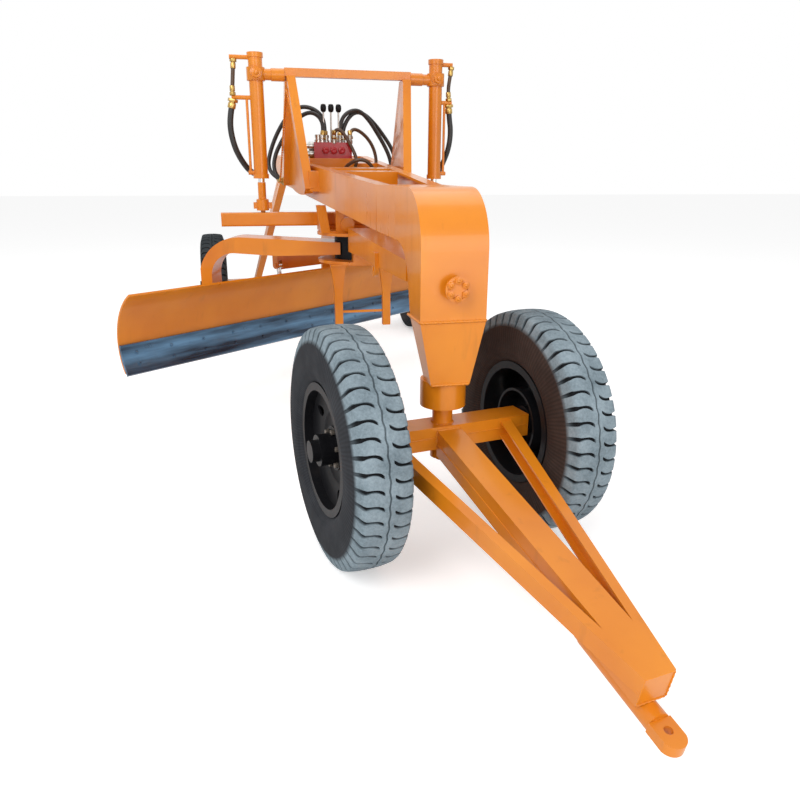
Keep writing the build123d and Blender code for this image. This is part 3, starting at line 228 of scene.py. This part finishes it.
# The cutting edge: blue-black mill finish, glossy, with painted reflection bands streaked along the
# blade, which stands at an angle to the machine, and a few darker clouds.
blade_angle = math.radians(38)
edge, shader, place = new_material("edge_steel", 0.55, 0.25, 0.2)
long_way = place.node("ShaderNodeMapping",
                      {"Vector": place, "Rotation": (0, 0, blade_angle),
                       "Scale": (1.3, 0.11, 0.11)}, vector_type="TEXTURE")
painted_reflection_streaks = long_way.noise(1.6, 4.0, 0.55)
mottle = place.noise(16.0, 4.0, 0.6)
# Painted reflection: the long streaks along the blade run from blue-black to a lighter blue; the
# same streaks also raise a faint bump.
colour = painted_reflection_streaks.spread(0.38, 0.64).mix((0.008, 0.020, 0.044, 1), (0.115, 0.245, 0.400, 1))
colour = (mottle.spread(0.62, 0.78) * 0.35).mix(colour, (0.012, 0.014, 0.020, 1))
finish_with(shader, place, colour, mottle * 0.22 + 0.12, mottle * 0.8 + painted_reflection_streaks * 0.5, 0.0025, 0.5)

# Rods: bright where they slide into their barrels, painted below that.
lift_finish, shader, place = new_material("lift_rod_finish")
barrel_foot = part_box("lift_barrel_right")[0].z
height = place.node("ShaderNodeSeparateXYZ", {"Vector": place}, out="Z")
bright_part = height.spread(barrel_foot - 0.0205, barrel_foot - 0.0195)
cloud = place.noise(6.0, 3.0)
colour = bright_part.mix(cloud.mix(amber_deep, amber_bright), (0.78, 0.79, 0.80, 1))
place.tree.links.new(bright_part.socket, shader.inputs["Metallic"])
finish_with(shader, place, colour, cloud * 0.1 + 0.16, place.noise(200.0, 2.0), 0.0005, 0.2)

# Hose rubber, black with a dull bloom; the sleeve over the older hoses is brown.
rubbers = {}
for name, dark, light in (("hose_black", (0.008, 0.007, 0.007, 1), (0.03, 0.026, 0.024, 1)),
                          ("hose_brown", (0.035, 0.016, 0.008, 1), (0.11, 0.055, 0.022, 1))):
    rubbers[name], shader, place = new_material(name)
    bloom = place.noise(30.0, 4.0)
    finish_with(shader, place, bloom.mix(dark, light), bloom * 0.25 + 0.30,
                place.noise(400.0, 2.0), 0.0005, 0.4)

# The tyre's colour follows attributes painted on its mesh: how far up the tread a point
# is, how far down in a groove, its place on the wheel, and how dusty and brown the tyre is.
rubber, shader, place = new_material("tyre")
shader.inputs["Specular IOR Level"].default_value = 0.10
tread, groove, dusty, brown = (
    place.node("ShaderNodeAttribute", {}, out="Fac", attribute_name=name)
    for name in ("tread", "groove", "dusty", "brown"))
local = place.node("ShaderNodeAttribute", {}, out="Vector", attribute_name="on_wheel")
ahead, up = (place.node("ShaderNodeSeparateXYZ", {"Vector": local}, out=axis) for axis in "YZ")
rib_count = 150
ribs = (ahead.math("ARCTAN2", up) * rib_count).math("SINE") * 0.5 + 0.5
dust = place.noise(9.0, 6.0, 0.65)
speck = place.noise(120.0, 4.0, 0.7)
side = brown.mix(dust.mix((0.014, 0.015, 0.018, 1), (0.052, 0.056, 0.064, 1)),
                 dust.mix((0.022, 0.014, 0.012, 1), (0.085, 0.056, 0.046, 1)))
side = (ribs * 0.35).mix(side, (0.010, 0.009, 0.009, 1))
block = (dust * 0.6 + speck * 0.4).spread(0.35, 0.62).mix((0.125, 0.165, 0.190, 1),
                                                         (0.27, 0.335, 0.375, 1))
block = dusty.mix((0.012, 0.012, 0.013, 1), block)
colour = tread.mix(side, block)
colour = groove.mix(colour, (0.012, 0.013, 0.015, 1))
finish_with(shader, place, colour, 0.92 - dust * 0.25, speck * 0.5 + (1 - tread) * ribs * 0.5,
            0.0015, 0.5)

finishes = {"orange_paint": orange, "tyre": rubber, "black_paint": black, "edge_steel": edge,
            "red_paint": red, "bright_steel": zinc}
slots = {part["node"]: part["material_slot"] for part in frame["record"]["subparts"]}


def add_piece(name, mesh, body, material):
    """A finished mesh as a piece that rides on a body."""
    piece = bpy.data.objects.new(name, mesh)
    scene.collection.objects.link(piece)
    mesh.materials.append(material)
    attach(piece, body)
    return piece


def settle(work, name, body, material, crease=40, mesh=None):
    """Shade a working mesh smooth but for edges past the crease, and add it as a piece."""
    for face in work.faces:
        face.smooth = True
    for joint in work.edges:
        joint.smooth = joint.calc_face_angle(4) < math.radians(crease)
    mesh = mesh or bpy.data.meshes.new(name)
    work.to_mesh(mesh)
    work.free()
    return add_piece(name, mesh, body, material)


def eased_barrel(work, stand, low, deep, radius, sides, ease):
    """A short barrel or prism along a stand's Z, with its rims eased."""
    made = bmesh.ops.create_cone(work, cap_ends=True, segments=sides, radius1=radius,
                                 radius2=radius, depth=deep,
                                 matrix=stand @ Matrix.Translation((0, 0, low + deep / 2)))
    rims = {joint for vert in made["verts"] for joint in vert.link_edges
            if joint.calc_face_angle(0) > 0.6}
    bmesh.ops.bevel(work, geom=list(rims), offset=ease, offset_type="OFFSET",
                    affect="EDGES", segments=2, profile=0.5, material=-1)


def standing(place, way):
    """A matrix that stands at a place with its Z along a way."""
    turn = Vector(way).to_track_quat("Z", "Y").to_matrix().to_4x4()
    return Matrix.Translation(Vector(place)) @ turn


# ---- Steelwork ----
# The solids keep their own meshes and take these finishes; the rods' bare metal is told
# apart by node.
bare = {"lift_rod_right": lift_finish, "lift_rod_left": lift_finish, "tilt_rod": chrome}
for node, solid in frame["nodes"].items():
    for fitted in solid.material_slots:
        fitted.material = bare.get(node, finishes[slots[node]])

# ---- Tyres ----
# One tyre is turned from a profile. Its grid follows the tread: each groove is a hooked curve
# from the shoulder to near the middle, and the grid's rows lie along its two banks.
lugs, groove_depth, groove_end = 50, 0.010, 0.0155
tyre_radius, bank = 0.4025, 0.0010
pitch = 2 * math.pi / lugs
profile = (
    # across, radius, groove depth share, groove half width, from the middle to the bead
    (0.0000, 0.4022, 0.45, 0.0040), (0.0018, 0.4022, 0.45, 0.0040),
    (0.0032, 0.4025, 0.00, 0.0040), (0.0110, 0.4024, 0.00, 0.0040),
    (0.0155, 0.4023, 0.00, 0.0034), (0.0170, 0.4022, 1.00, 0.0042),
    (0.0210, 0.4020, 1.00, 0.0050), (0.0250, 0.4018, 1.00, 0.0050),
    (0.0300, 0.4016, 1.00, 0.0044), (0.0350, 0.4012, 1.00, 0.0038),
    (0.0410, 0.4006, 1.00, 0.0034), (0.0480, 0.3998, 1.00, 0.0032),
    (0.0550, 0.3988, 1.00, 0.0034), (0.0620, 0.3976, 1.00, 0.0040),
    (0.0680, 0.3962, 1.00, 0.0052), (0.0725, 0.3938, 1.00, 0.0064),
    (0.0765, 0.3890, 1.00, 0.0068), (0.0795, 0.3810, 1.00, 0.0068),
    (0.0825, 0.3710, 0.95, 0.0064), (0.0855, 0.3620, 0.80, 0.0058),
    (0.0880, 0.3540, 0.45, 0.0050), (0.0900, 0.3470, 0.00, 0.0046),
    (0.0918, 0.3380, 0.00, 0.0046), (0.0922, 0.3340, 0.00, 0.0046),
    (0.0936, 0.3220, 0.00, 0.0046), (0.0946, 0.3050, 0.00, 0.0046),
    (0.0950, 0.2880, 0.00, 0.0046), (0.0946, 0.2740, 0.00, 0.0046),
    (0.0932, 0.2600, 0.00, 0.0046), (0.0905, 0.2500, 0.00, 0.0046),
    (0.0885, 0.2480, 0.00, 0.0046), (0.0870, 0.2430, 0.00, 0.0046),
    (0.0830, 0.2340, 0.00, 0.0046), (0.0780, 0.2270, 0.00, 0.0046),
    (0.0735, 0.2230, 0.00, 0.0046), (0.0732, 0.2040, 0.00, 0.0046),
)
half = np.array(profile)
side = np.concatenate([-half[:0:-1, 0], half[:, 0]])
reach = np.concatenate([half[:0:-1, 1], half[:, 1]])
depth = np.concatenate([half[:0:-1, 2], half[:, 2]])
groove_half = np.concatenate([half[:0:-1, 3], half[:, 3]])
along_in = np.clip((np.abs(side) - groove_end) / 0.052, 0, 1)
hook = 0.016 * (1 - (1 - along_in) ** 3.2) - 0.004 * along_in ** 2
middle = np.clip(side / groove_end, -1, 1)
lead = (np.where(side > 0, hook - 0.008, -(hook - 0.008)) / tyre_radius
        + middle * pitch / 4)
slope_side = np.gradient(side)
slope_reach = np.gradient(reach)
steep = np.hypot(slope_side, slope_reach)
outward_side, outward_reach = -slope_reach / steep, slope_side / steep
lug_width = pitch * tyre_radius - 2 * groove_half - 2 * bank
rows = (
    # offset round the tyre, share of the groove's depth
    (-groove_half, 1), (groove_half, 1), (groove_half + bank, 0),
    (groove_half + bank + 0.35 * lug_width, 0), (groove_half + bank + 0.70 * lug_width, 0),
    (pitch * tyre_radius - groove_half - bank, 0),
)
turn_rows = np.array([lead + offset / tyre_radius for offset, _ in rows])
cut_rows = np.array([depth * share for _, share in rows])
centre_line = np.abs(side) < 0.0025
turn = np.concatenate([turn_rows + lug * pitch for lug in range(lugs)])
cut = np.concatenate([cut_rows] * lugs)
cut = np.where(centre_line, 0.45, cut)
upper = np.broadcast_to(np.clip((reach - 0.350) / 0.010, 0, 1), cut.shape)
around, columns = cut.shape
wave = 0.0022 * np.sin(turn * lugs) * (np.abs(side) < 0.012)
x_grid = side + wave - outward_side * groove_depth * cut
radius = reach - outward_reach * groove_depth * cut
local = np.stack([x_grid, radius * np.cos(turn), radius * np.sin(turn)], axis=-1)
local = local.reshape(-1, 3)
corner = np.arange(around)[:, None] * columns + np.arange(columns)[None, :]
onward = np.roll(corner, -1, axis=0)
quads = np.stack([corner[:, :-1], corner[:, 1:], onward[:, 1:], onward[:, :-1]], axis=-1)
closing = np.stack([corner[:, -1], corner[:, 0], onward[:, 0], onward[:, -1]], axis=-1)
faces = np.concatenate([quads.reshape(-1, 4), closing.reshape(-1, 4)]).tolist()
steer_angle = math.radians(10)
wheel_stand = {}
for wheel, dusty_share, brown_share in (("front_right", 1.0, 0.0), ("front_left", 1.0, 1.0),
                                        ("rear_right", 0.12, 0.2), ("rear_left", 0.12, 0.2)):
    low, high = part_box(wheel + "_tyre")
    steer = steer_angle if wheel.startswith("front") else 0.0
    outside = math.pi if wheel.endswith("right") else 0.0
    stand = Matrix.Translation((low + high) / 2) @ Matrix.Rotation(steer + outside, 4, "Z")
    wheel_stand[wheel] = stand
    points = local @ np.array(stand.to_3x3()).T + np.array(stand.translation)
    mesh = bpy.data.meshes.new(wheel + "_tread")
    mesh.from_pydata(points.tolist(), [], faces)
    for name, kind, field, data in (("tread", "FLOAT", "value", upper),
                                    ("groove", "FLOAT", "value", cut),
                                    ("dusty", "FLOAT", "value", np.full(cut.shape, dusty_share)),
                                    ("brown", "FLOAT", "value", np.full(cut.shape, brown_share)),
                                    ("on_wheel", "FLOAT_VECTOR", "vector", local)):
        layer = mesh.attributes.new(name, kind, "POINT")
        layer.data.foreach_set(field, data.reshape(-1).astype(np.float32))
    work = bmesh.new()
    work.from_mesh(mesh)
    bmesh.ops.recalc_face_normals(work, faces=work.faces)
    piece = settle(work, wheel + "_tread", "wheel_" + wheel, rubber, 38, mesh)
    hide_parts(wheel + "_tyre")


# ---- Bolts and nuts ----
# Hexagon heads on washers, with a dome; each set is one piece on its body.
def hexagon_heads(name, body, heads, material):
    """Heads from a list of (place, way out, half width across corners, height)."""
    work = bmesh.new()
    for place, way, size, height in heads:
        stand = standing(place, way)
        for low, deep, radius, sides in ((0.0, height * 0.16, size * 1.22, 20),
                                         (height * 0.16, height * 0.84, size, 6)):
            eased_barrel(work, stand, low, deep, radius, sides, size * 0.08)
        bmesh.ops.create_uvsphere(work, u_segments=14, v_segments=8, radius=size * 0.52,
                                  matrix=stand @ Matrix.Translation((0, 0, height * 0.86)))
    return settle(work, name, body, material)


nut_circle, nut_seat = 0.062, 0.0325
for wheel, stand in wheel_stand.items():
    heads = []
    for step in range(6):
        angle = step * math.pi / 3 + 0.3
        seat = Vector((nut_seat, nut_circle * math.cos(angle), nut_circle * math.sin(angle)))
        heads.append((stand @ seat, stand.to_3x3() @ Vector((1, 0, 0)), 0.0095, 0.018))
    hexagon_heads(wheel + "_nuts", "wheel_" + wheel, heads, worn)

collar_low, collar_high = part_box("kingpin_collar")
pin = Vector(((collar_low.x + collar_high.x) / 2, (collar_low.y + collar_high.y) / 2, 0))


def from_pin(x, y, z):
    """A point measured from the kingpin's axis and the ground."""
    return Vector((pin.x + x, pin.y + y, z))


# A bolt with its washer holds each cylinder's trunnion yoke, in front and behind.
lift_x, lift_y, trunnion_z = 0.491, 1.897, 1.755
for side, name in ((-1, "right"), (1, "left")):
    heads = [(from_pin(side * lift_x, lift_y + way * 0.050, trunnion_z), (0, way, 0), 0.027, 0.022)
             for way in (-1, 1)]
    hexagon_heads("trunnion_bolts_" + name, "lift_barrel_" + name, heads, orange)

# Six bolts stand on the neck's flange.
low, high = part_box("neck_flange")
middle = (low + high) / 2
ring_radius = (high.x - low.x) / 2 * 0.69
heads = []
for step in range(6):
    angle = math.radians(30 + 60 * step)
    seat = (middle.x + ring_radius * math.cos(angle), low.y + 0.001,
            middle.z + ring_radius * math.sin(angle))
    heads.append((seat, (0, -1, 0), 0.0115, 0.008))
hexagon_heads("flange_bolts", "chassis", heads, orange)

# Two rows of plough bolts hold the cutting edge; their heads stand just proud of its face.
swung = Matrix.Translation(from_pin(0, 1.700, 0)) @ Matrix.Rotation(blade_angle, 4, "Z")
arc_y, arc_z = 0.2195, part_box("cutting_edge")[0].z + 0.293 * math.sin(math.radians(32))
arc_radius, bolt_pitch = 0.2778, 0.2
heads = []
for lean in (math.radians(-22.0), math.radians(-10.0)):
    out = Vector((0, -math.cos(lean), -math.sin(lean)))
    for step in range(12):
        seat = Vector((-1.10 + step * bolt_pitch, arc_y + arc_radius * math.cos(lean),
                       arc_z + arc_radius * math.sin(lean)))
        heads.append((swung @ seat, swung.to_3x3() @ out, 0.0085, 0.0035))
hexagon_heads("edge_bolts", "blade", heads, edge)

# ---- Weld beads ----
# A lumpy half-round bead runs along each seam, in short overlapping beads.
def weld(name, body, runs, radius=0.0045):
    """Beads along lists of points, as one piece on a body."""
    points, faces = [], []
    for run in runs:
        run = [Vector(place) for place in run]
        for start, end in zip(run, run[1:]):
            count = max(2, int((end - start).length / 0.0045))
            way = (end - start).normalized()
            across = way.orthogonal().normalized()
            above = way.cross(across)
            first = len(points)
            for step in range(count + 1):
                swell = (1.0 + 0.26 * math.sin(step * 1.9)
                         + 0.14 * math.sin(step * 0.63 + len(points)))
                centre = start.lerp(end, step / count)
                if step in (0, count):
                    swell = 0.25
                for turn_step in range(8):
                    angle = turn_step * math.pi / 4
                    points.append(centre + (across * math.cos(angle) + above * math.sin(angle))
                                  * radius * swell)
            for step in range(count):
                for turn_step in range(8):
                    near = first + step * 8 + turn_step
                    far = first + step * 8 + (turn_step + 1) % 8
                    faces.append((near, far, far + 8, near + 8))
            faces.append(tuple(first + 7 - index for index in range(8)))
            faces.append(tuple(first + count * 8 + index for index in range(8)))
    mesh = bpy.data.meshes.new(name)
    mesh.from_pydata(points, [], faces)
    mesh.polygons.foreach_set("use_smooth", [True] * len(mesh.polygons))
    return add_piece(name, mesh, body, orange)


def ring(centre, radius, count=28):
    """Points of a level ring."""
    return [centre + Vector((radius * math.cos(step * 2 * math.pi / count),
                             radius * math.sin(step * 2 * math.pi / count), 0))
            for step in range(count + 1)]


# The webs' seams lie along the legs, from the crossbar's ends to the feet.
crossbar_y = 1.893
web_runs = []
for side in (-1, 1):
    for foot_y, foot_x, head_off in ((crossbar_y - 0.265 + 0.040, 0.2573, -0.012),
                                     (crossbar_y + 0.330 - 0.040, 0.3690, 0.012)):
        deck = 1.207 + (foot_y - 0.265) * 0.0606
        web_runs.append([from_pin(side * foot_x, foot_y, deck - 0.110),
                         from_pin(side * 0.3370, crossbar_y + head_off, 1.690)])

front_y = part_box("gooseneck")[0].y - pin.y
neck_half, neck_back, neck_seam = 0.110, 0.060, 0.812
collar_bead = 0.0665
weld("chassis_welds", "chassis", (
    [from_pin(-neck_half, front_y, neck_seam), from_pin(neck_half, front_y, neck_seam)],
    [from_pin(-neck_half, front_y, neck_seam), from_pin(-neck_half, neck_back, neck_seam)],
    [from_pin(neck_half, front_y, neck_seam), from_pin(neck_half, neck_back, neck_seam)],
    [from_pin(-collar_bead, front_y + 0.016, collar_high.z),
     from_pin(collar_bead, front_y + 0.016, collar_high.z)],
    ring(from_pin(0, 0, collar_high.z), collar_bead),
    *web_runs,
))


def on_steering(x, y, z):
    """A point on the steered axle, measured square to it from the kingpin's foot."""
    return pin + turned @ Vector((x, y, z))


turned = Matrix.Rotation(steer_angle, 3, "Z")
root_half, root_y, root_top, root_low = 0.0445, -0.0525, 0.430, 0.372
weld("steering_welds", "steering", (
    [on_steering(-root_half, root_y, root_top), on_steering(root_half, root_y, root_top)],
    [on_steering(-root_half, root_y, root_top), on_steering(-root_half, root_y, root_low)],
    [on_steering(root_half, root_y, root_top), on_steering(root_half, root_y, root_low)],
    ring(from_pin(0, 0, 0.4425), 0.036),
), 0.0038)
# Seams where the axle and the tow bar are closed from two channels, and the bar's end plate.
bar_slope = math.radians(12)
bar_way = Vector((0, -math.cos(bar_slope), -math.sin(bar_slope)))
bar_up = Vector((0, -math.sin(bar_slope), math.cos(bar_slope)))
bar_top = Vector((0, root_y, 0.431))
bar_end = bar_top + bar_way * 1.0675
seams = []
for side in (-1, 1):
    flank = Vector((side * 0.0447, 0, 0)) - bar_up * 0.045
    seams.append([bar_top + bar_way * 0.02 + flank, bar_end + flank])
    seams.append([Vector((side * 0.050, -0.0527, 0.405)), Vector((side * 0.315, -0.0527, 0.405))])
seams.append([bar_end + Vector((across, 0, 0)) - bar_up * down
              for across, down in ((-0.043, 0.002), (0.043, 0.002), (0.043, 0.087),
                                   (-0.043, 0.087), (-0.043, 0.002))])
weld("seam_beads", "steering", [[on_steering(*place) for place in seam] for seam in seams], 0.0022)


# ---- Hoses ----
# Hydraulic hoses hang in arcs from the valve to the frame, and down beside each lift
# cylinder; every end but the far ends of the two lower cylinder hoses has a crimped sleeve and a
# nut.
def hose(name, body, route, thickness, material, far_fitting=True):
    """A hose along a route, with a fitting at its start and, if wanted, at its far end."""
    curve = bpy.data.curves.new(name, "CURVE")
    curve.dimensions = "3D"
    curve.bevel_depth = thickness / 2
    curve.bevel_resolution = 4
    curve.resolution_u = 10
    curve.use_fill_caps = True
    spline = curve.splines.new("NURBS")
    spline.points.add(len(route) - 1)
    for point, place in zip(spline.points, route):
        point.co = (*place, 1)
    spline.order_u = 3
    spline.use_endpoint_u = True
    piece = add_piece(name, curve, body, material)
    fittings = [(route[0], route[1])]
    if far_fitting:
        fittings.append((route[-1], route[-2]))
    work = bmesh.new()
    for place, inward in fittings:
        stand = standing(place, (inward - place).normalized())
        for low, deep, radius, sides in ((-0.004, 0.016, thickness * 0.86, 6),
                                         (0.012, 0.007, thickness * 0.55, 16),
                                         (0.018, 0.026, thickness * 0.66, 18)):
            eased_barrel(work, stand, low, deep, radius, sides, thickness * 0.06)
    ends_piece = settle(work, name + "_ends", body, brass)


for name, body, material, thickness, far_fitting, route in (
    # places are across from the kingpin, behind the lift cylinders' axes, and up
    ("hose_right_upper", "lift_barrel_right", "hose_brown", 0.021, True, (
        (-0.603, 0.0, 1.822), (-0.606, 0.0, 1.780), (-0.612, 0.0, 1.720), (-0.616, 0.0, 1.675),
        (-0.616, 0.0, 1.652))),
    ("hose_right_lower", "lift_barrel_right", "hose_black", 0.032, False, (
        (-0.616, 0.0, 1.628), (-0.634, 0.004, 1.560), (-0.640, 0.010, 1.480),
        (-0.622, 0.020, 1.390), (-0.590, 0.045, 1.325), (-0.552, 0.068, 1.274),
        (-0.514, 0.072, 1.252), (-0.491, 0.040, 1.252))),
    ("hose_left_upper", "lift_barrel_left", "hose_brown", 0.021, True, (
        (0.580, 0.0, 1.822), (0.576, 0.0, 1.780), (0.566, 0.0, 1.720), (0.568, 0.0, 1.675),
        (0.570, 0.0, 1.652))),
    ("hose_left_lower", "lift_barrel_left", "hose_black", 0.030, False, (
        (0.570, 0.0, 1.628), (0.576, 0.006, 1.570), (0.590, 0.010, 1.490), (0.582, 0.018, 1.400),
        (0.560, 0.045, 1.325), (0.540, 0.068, 1.274), (0.514, 0.072, 1.252), (0.491, 0.040, 1.252))),
):
    hose(name, body, [from_pin(x, lift_y + y, z) for x, y, z in route], thickness,
         rubbers[material], far_fitting)
for name, material, thickness, route in (
    ("hose_far_right", "hose_black", 0.024, (
        (-0.098, 2.175, 1.452), (-0.096, 2.180, 1.510), (-0.108, 2.195, 1.580),
        (-0.165, 2.215, 1.625), (-0.240, 2.245, 1.632), (-0.310, 2.280, 1.575),
        (-0.365, 2.310, 1.490), (-0.405, 2.330, 1.400), (-0.430, 2.330, 1.310),
        (-0.405, 2.300, 1.245), (-0.338, 2.264, 1.210))),
    ("hose_right", "hose_black", 0.024, (
        (-0.120, 2.150, 1.452), (-0.106, 2.160, 1.505), (-0.120, 2.180, 1.570),
        (-0.170, 2.200, 1.602), (-0.230, 2.225, 1.582), (-0.290, 2.255, 1.520),
        (-0.345, 2.280, 1.440), (-0.385, 2.290, 1.365), (-0.400, 2.280, 1.290),
        (-0.375, 2.258, 1.228), (-0.332, 2.250, 1.206))),
    ("hose_left", "hose_black", 0.024, (
        (-0.012, 2.175, 1.452), (-0.008, 2.180, 1.510), (0.010, 2.195, 1.575),
        (0.060, 2.215, 1.612), (0.120, 2.235, 1.618), (0.180, 2.245, 1.565),
        (0.232, 2.250, 1.490), (0.276, 2.250, 1.420), (0.306, 2.245, 1.355),
        (0.318, 2.238, 1.290), (0.306, 2.235, 1.256))),
    ("hose_far_left", "hose_black", 0.024, (
        (0.006, 2.190, 1.452), (0.010, 2.195, 1.500), (0.040, 2.210, 1.565),
        (0.095, 2.240, 1.612), (0.160, 2.275, 1.600), (0.225, 2.300, 1.548),
        (0.285, 2.315, 1.480), (0.335, 2.320, 1.410), (0.360, 2.320, 1.340),
        (0.352, 2.298, 1.272), (0.322, 2.268, 1.243))),
    ("hose_near_left", "hose_brown", 0.020, (
        (0.047, 2.150, 1.456), (0.046, 2.155, 1.490), (0.075, 2.165, 1.512),
        (0.125, 2.180, 1.490), (0.170, 2.190, 1.448), (0.200, 2.195, 1.395),
        (0.213, 2.195, 1.335), (0.204, 2.190, 1.295), (0.190, 2.184, 1.266))),
    ("hose_front", "hose_brown", 0.020, (
        (-0.056, 2.112, 1.455), (-0.052, 2.100, 1.500), (-0.018, 2.085, 1.500),
        (0.014, 2.075, 1.455), (0.044, 2.065, 1.400), (0.066, 2.050, 1.345),
        (0.062, 2.045, 1.300), (0.048, 2.078, 1.264))),
    ("hose_hoop", "hose_brown", 0.020, (
        (-0.018, 2.080, 1.262), (-0.020, 2.010, 1.266), (-0.012, 1.945, 1.300),
        (0.040, 1.905, 1.334), (0.092, 1.900, 1.332), (0.130, 1.905, 1.300),
        (0.150, 1.915, 1.240), (0.176, 1.915, 1.152))),
):
    hose(name, "chassis", [from_pin(*place) for place in route], thickness, rubbers[material])

# ---- Control valve ----
# Three spool sections with round caps in front, bright fittings and a relief body behind and
# beside them, and black knobs on the levers.
valve_low, valve_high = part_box("control_valve")
lever_low, lever_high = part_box("valve_levers")
valve_middle = (valve_low + valve_high) / 2
deck_slope = math.radians(3.47)
tilt_back = Vector((0, -math.sin(deck_slope), math.cos(deck_slope)))


def turned_parts(name, body, parts, material, sides=28):
    """Turned pieces from a list of (foot, way, outline of (along, radius) from end to end)."""
    work = bmesh.new()
    for foot, way, outline in parts:
        chain = [work.verts.new((radius, 0, along)) for along, radius in outline]
        edges = [work.edges.new(pair) for pair in zip(chain, chain[1:])]
        bmesh.ops.spin(work, geom=chain + edges, axis=(0, 0, 1), cent=(0, 0, 0), steps=sides,
                       angle=math.tau, use_merge=True)
        placed = {vert for face in work.faces if not face.tag for vert in face.verts}
        for face in work.faces:
            face.tag = True
        bmesh.ops.transform(work, matrix=standing(foot, way), verts=list(placed | set(chain)))
    bmesh.ops.remove_doubles(work, verts=work.verts, dist=2e-6)
    bmesh.ops.recalc_face_normals(work, faces=work.faces)
    return settle(work, name, body, material)


caps = [((valve_middle.x + offset, valve_low.y + 0.006, valve_middle.z - 0.004), (0, -1, 0),
         ((0.0, 0.0001), (0.0, 0.020), (0.012, 0.020), (0.015, 0.017), (0.016, 0.010),
          (0.013, 0.006), (0.013, 0.0001)))
        for offset in (-0.044, 0.003, 0.050)]
turned_parts("valve_caps", "chassis", caps, red)
knobs = [((lever_low.x + 0.014 + step * (lever_high.x - lever_low.x - 0.028) / 2,
           (lever_low.y + lever_high.y) / 2 - 0.004, lever_high.z - 0.036), tilt_back,
          ((-0.008, 0.0001), (-0.008, 0.008), (-0.002, 0.0148), (0.012, 0.0172), (0.024, 0.0165),
           (0.034, 0.0120), (0.0375, 0.0001)))
         for step in range(3)]
turned_parts("lever_knobs", "chassis", knobs, black)
unions = [((valve_middle.x + x, valve_middle.y + y, valve_high.z - 0.010), tilt_back,
           ((0.0, 0.0001), (0.0, 0.019), (0.018, 0.019), (0.020, 0.014), (0.030, 0.014),
            (0.030, 0.0165), (0.046, 0.0165), (0.048, 0.012), (0.048, 0.0001)))
          for x, y in ((-0.060, -0.010), (-0.030, 0.016), (0.006, -0.042), (0.050, 0.016),
                       (0.068, 0.030), (0.104, -0.010), (-0.085, -0.024))]
turned_parts("valve_unions", "chassis", unions, zinc)
relief = [((valve_low.x + 0.004, valve_middle.y - 0.010, valve_middle.z + z), (-1, 0, 0),
           ((0.0, 0.0001), (0.0, 0.022), (0.030, 0.022), (0.032, 0.016), (0.046, 0.016),
            (0.048, 0.008), (0.048, 0.0001)))
          for z in (0.022, -0.022)]
turned_parts("valve_relief", "chassis", relief, zinc)
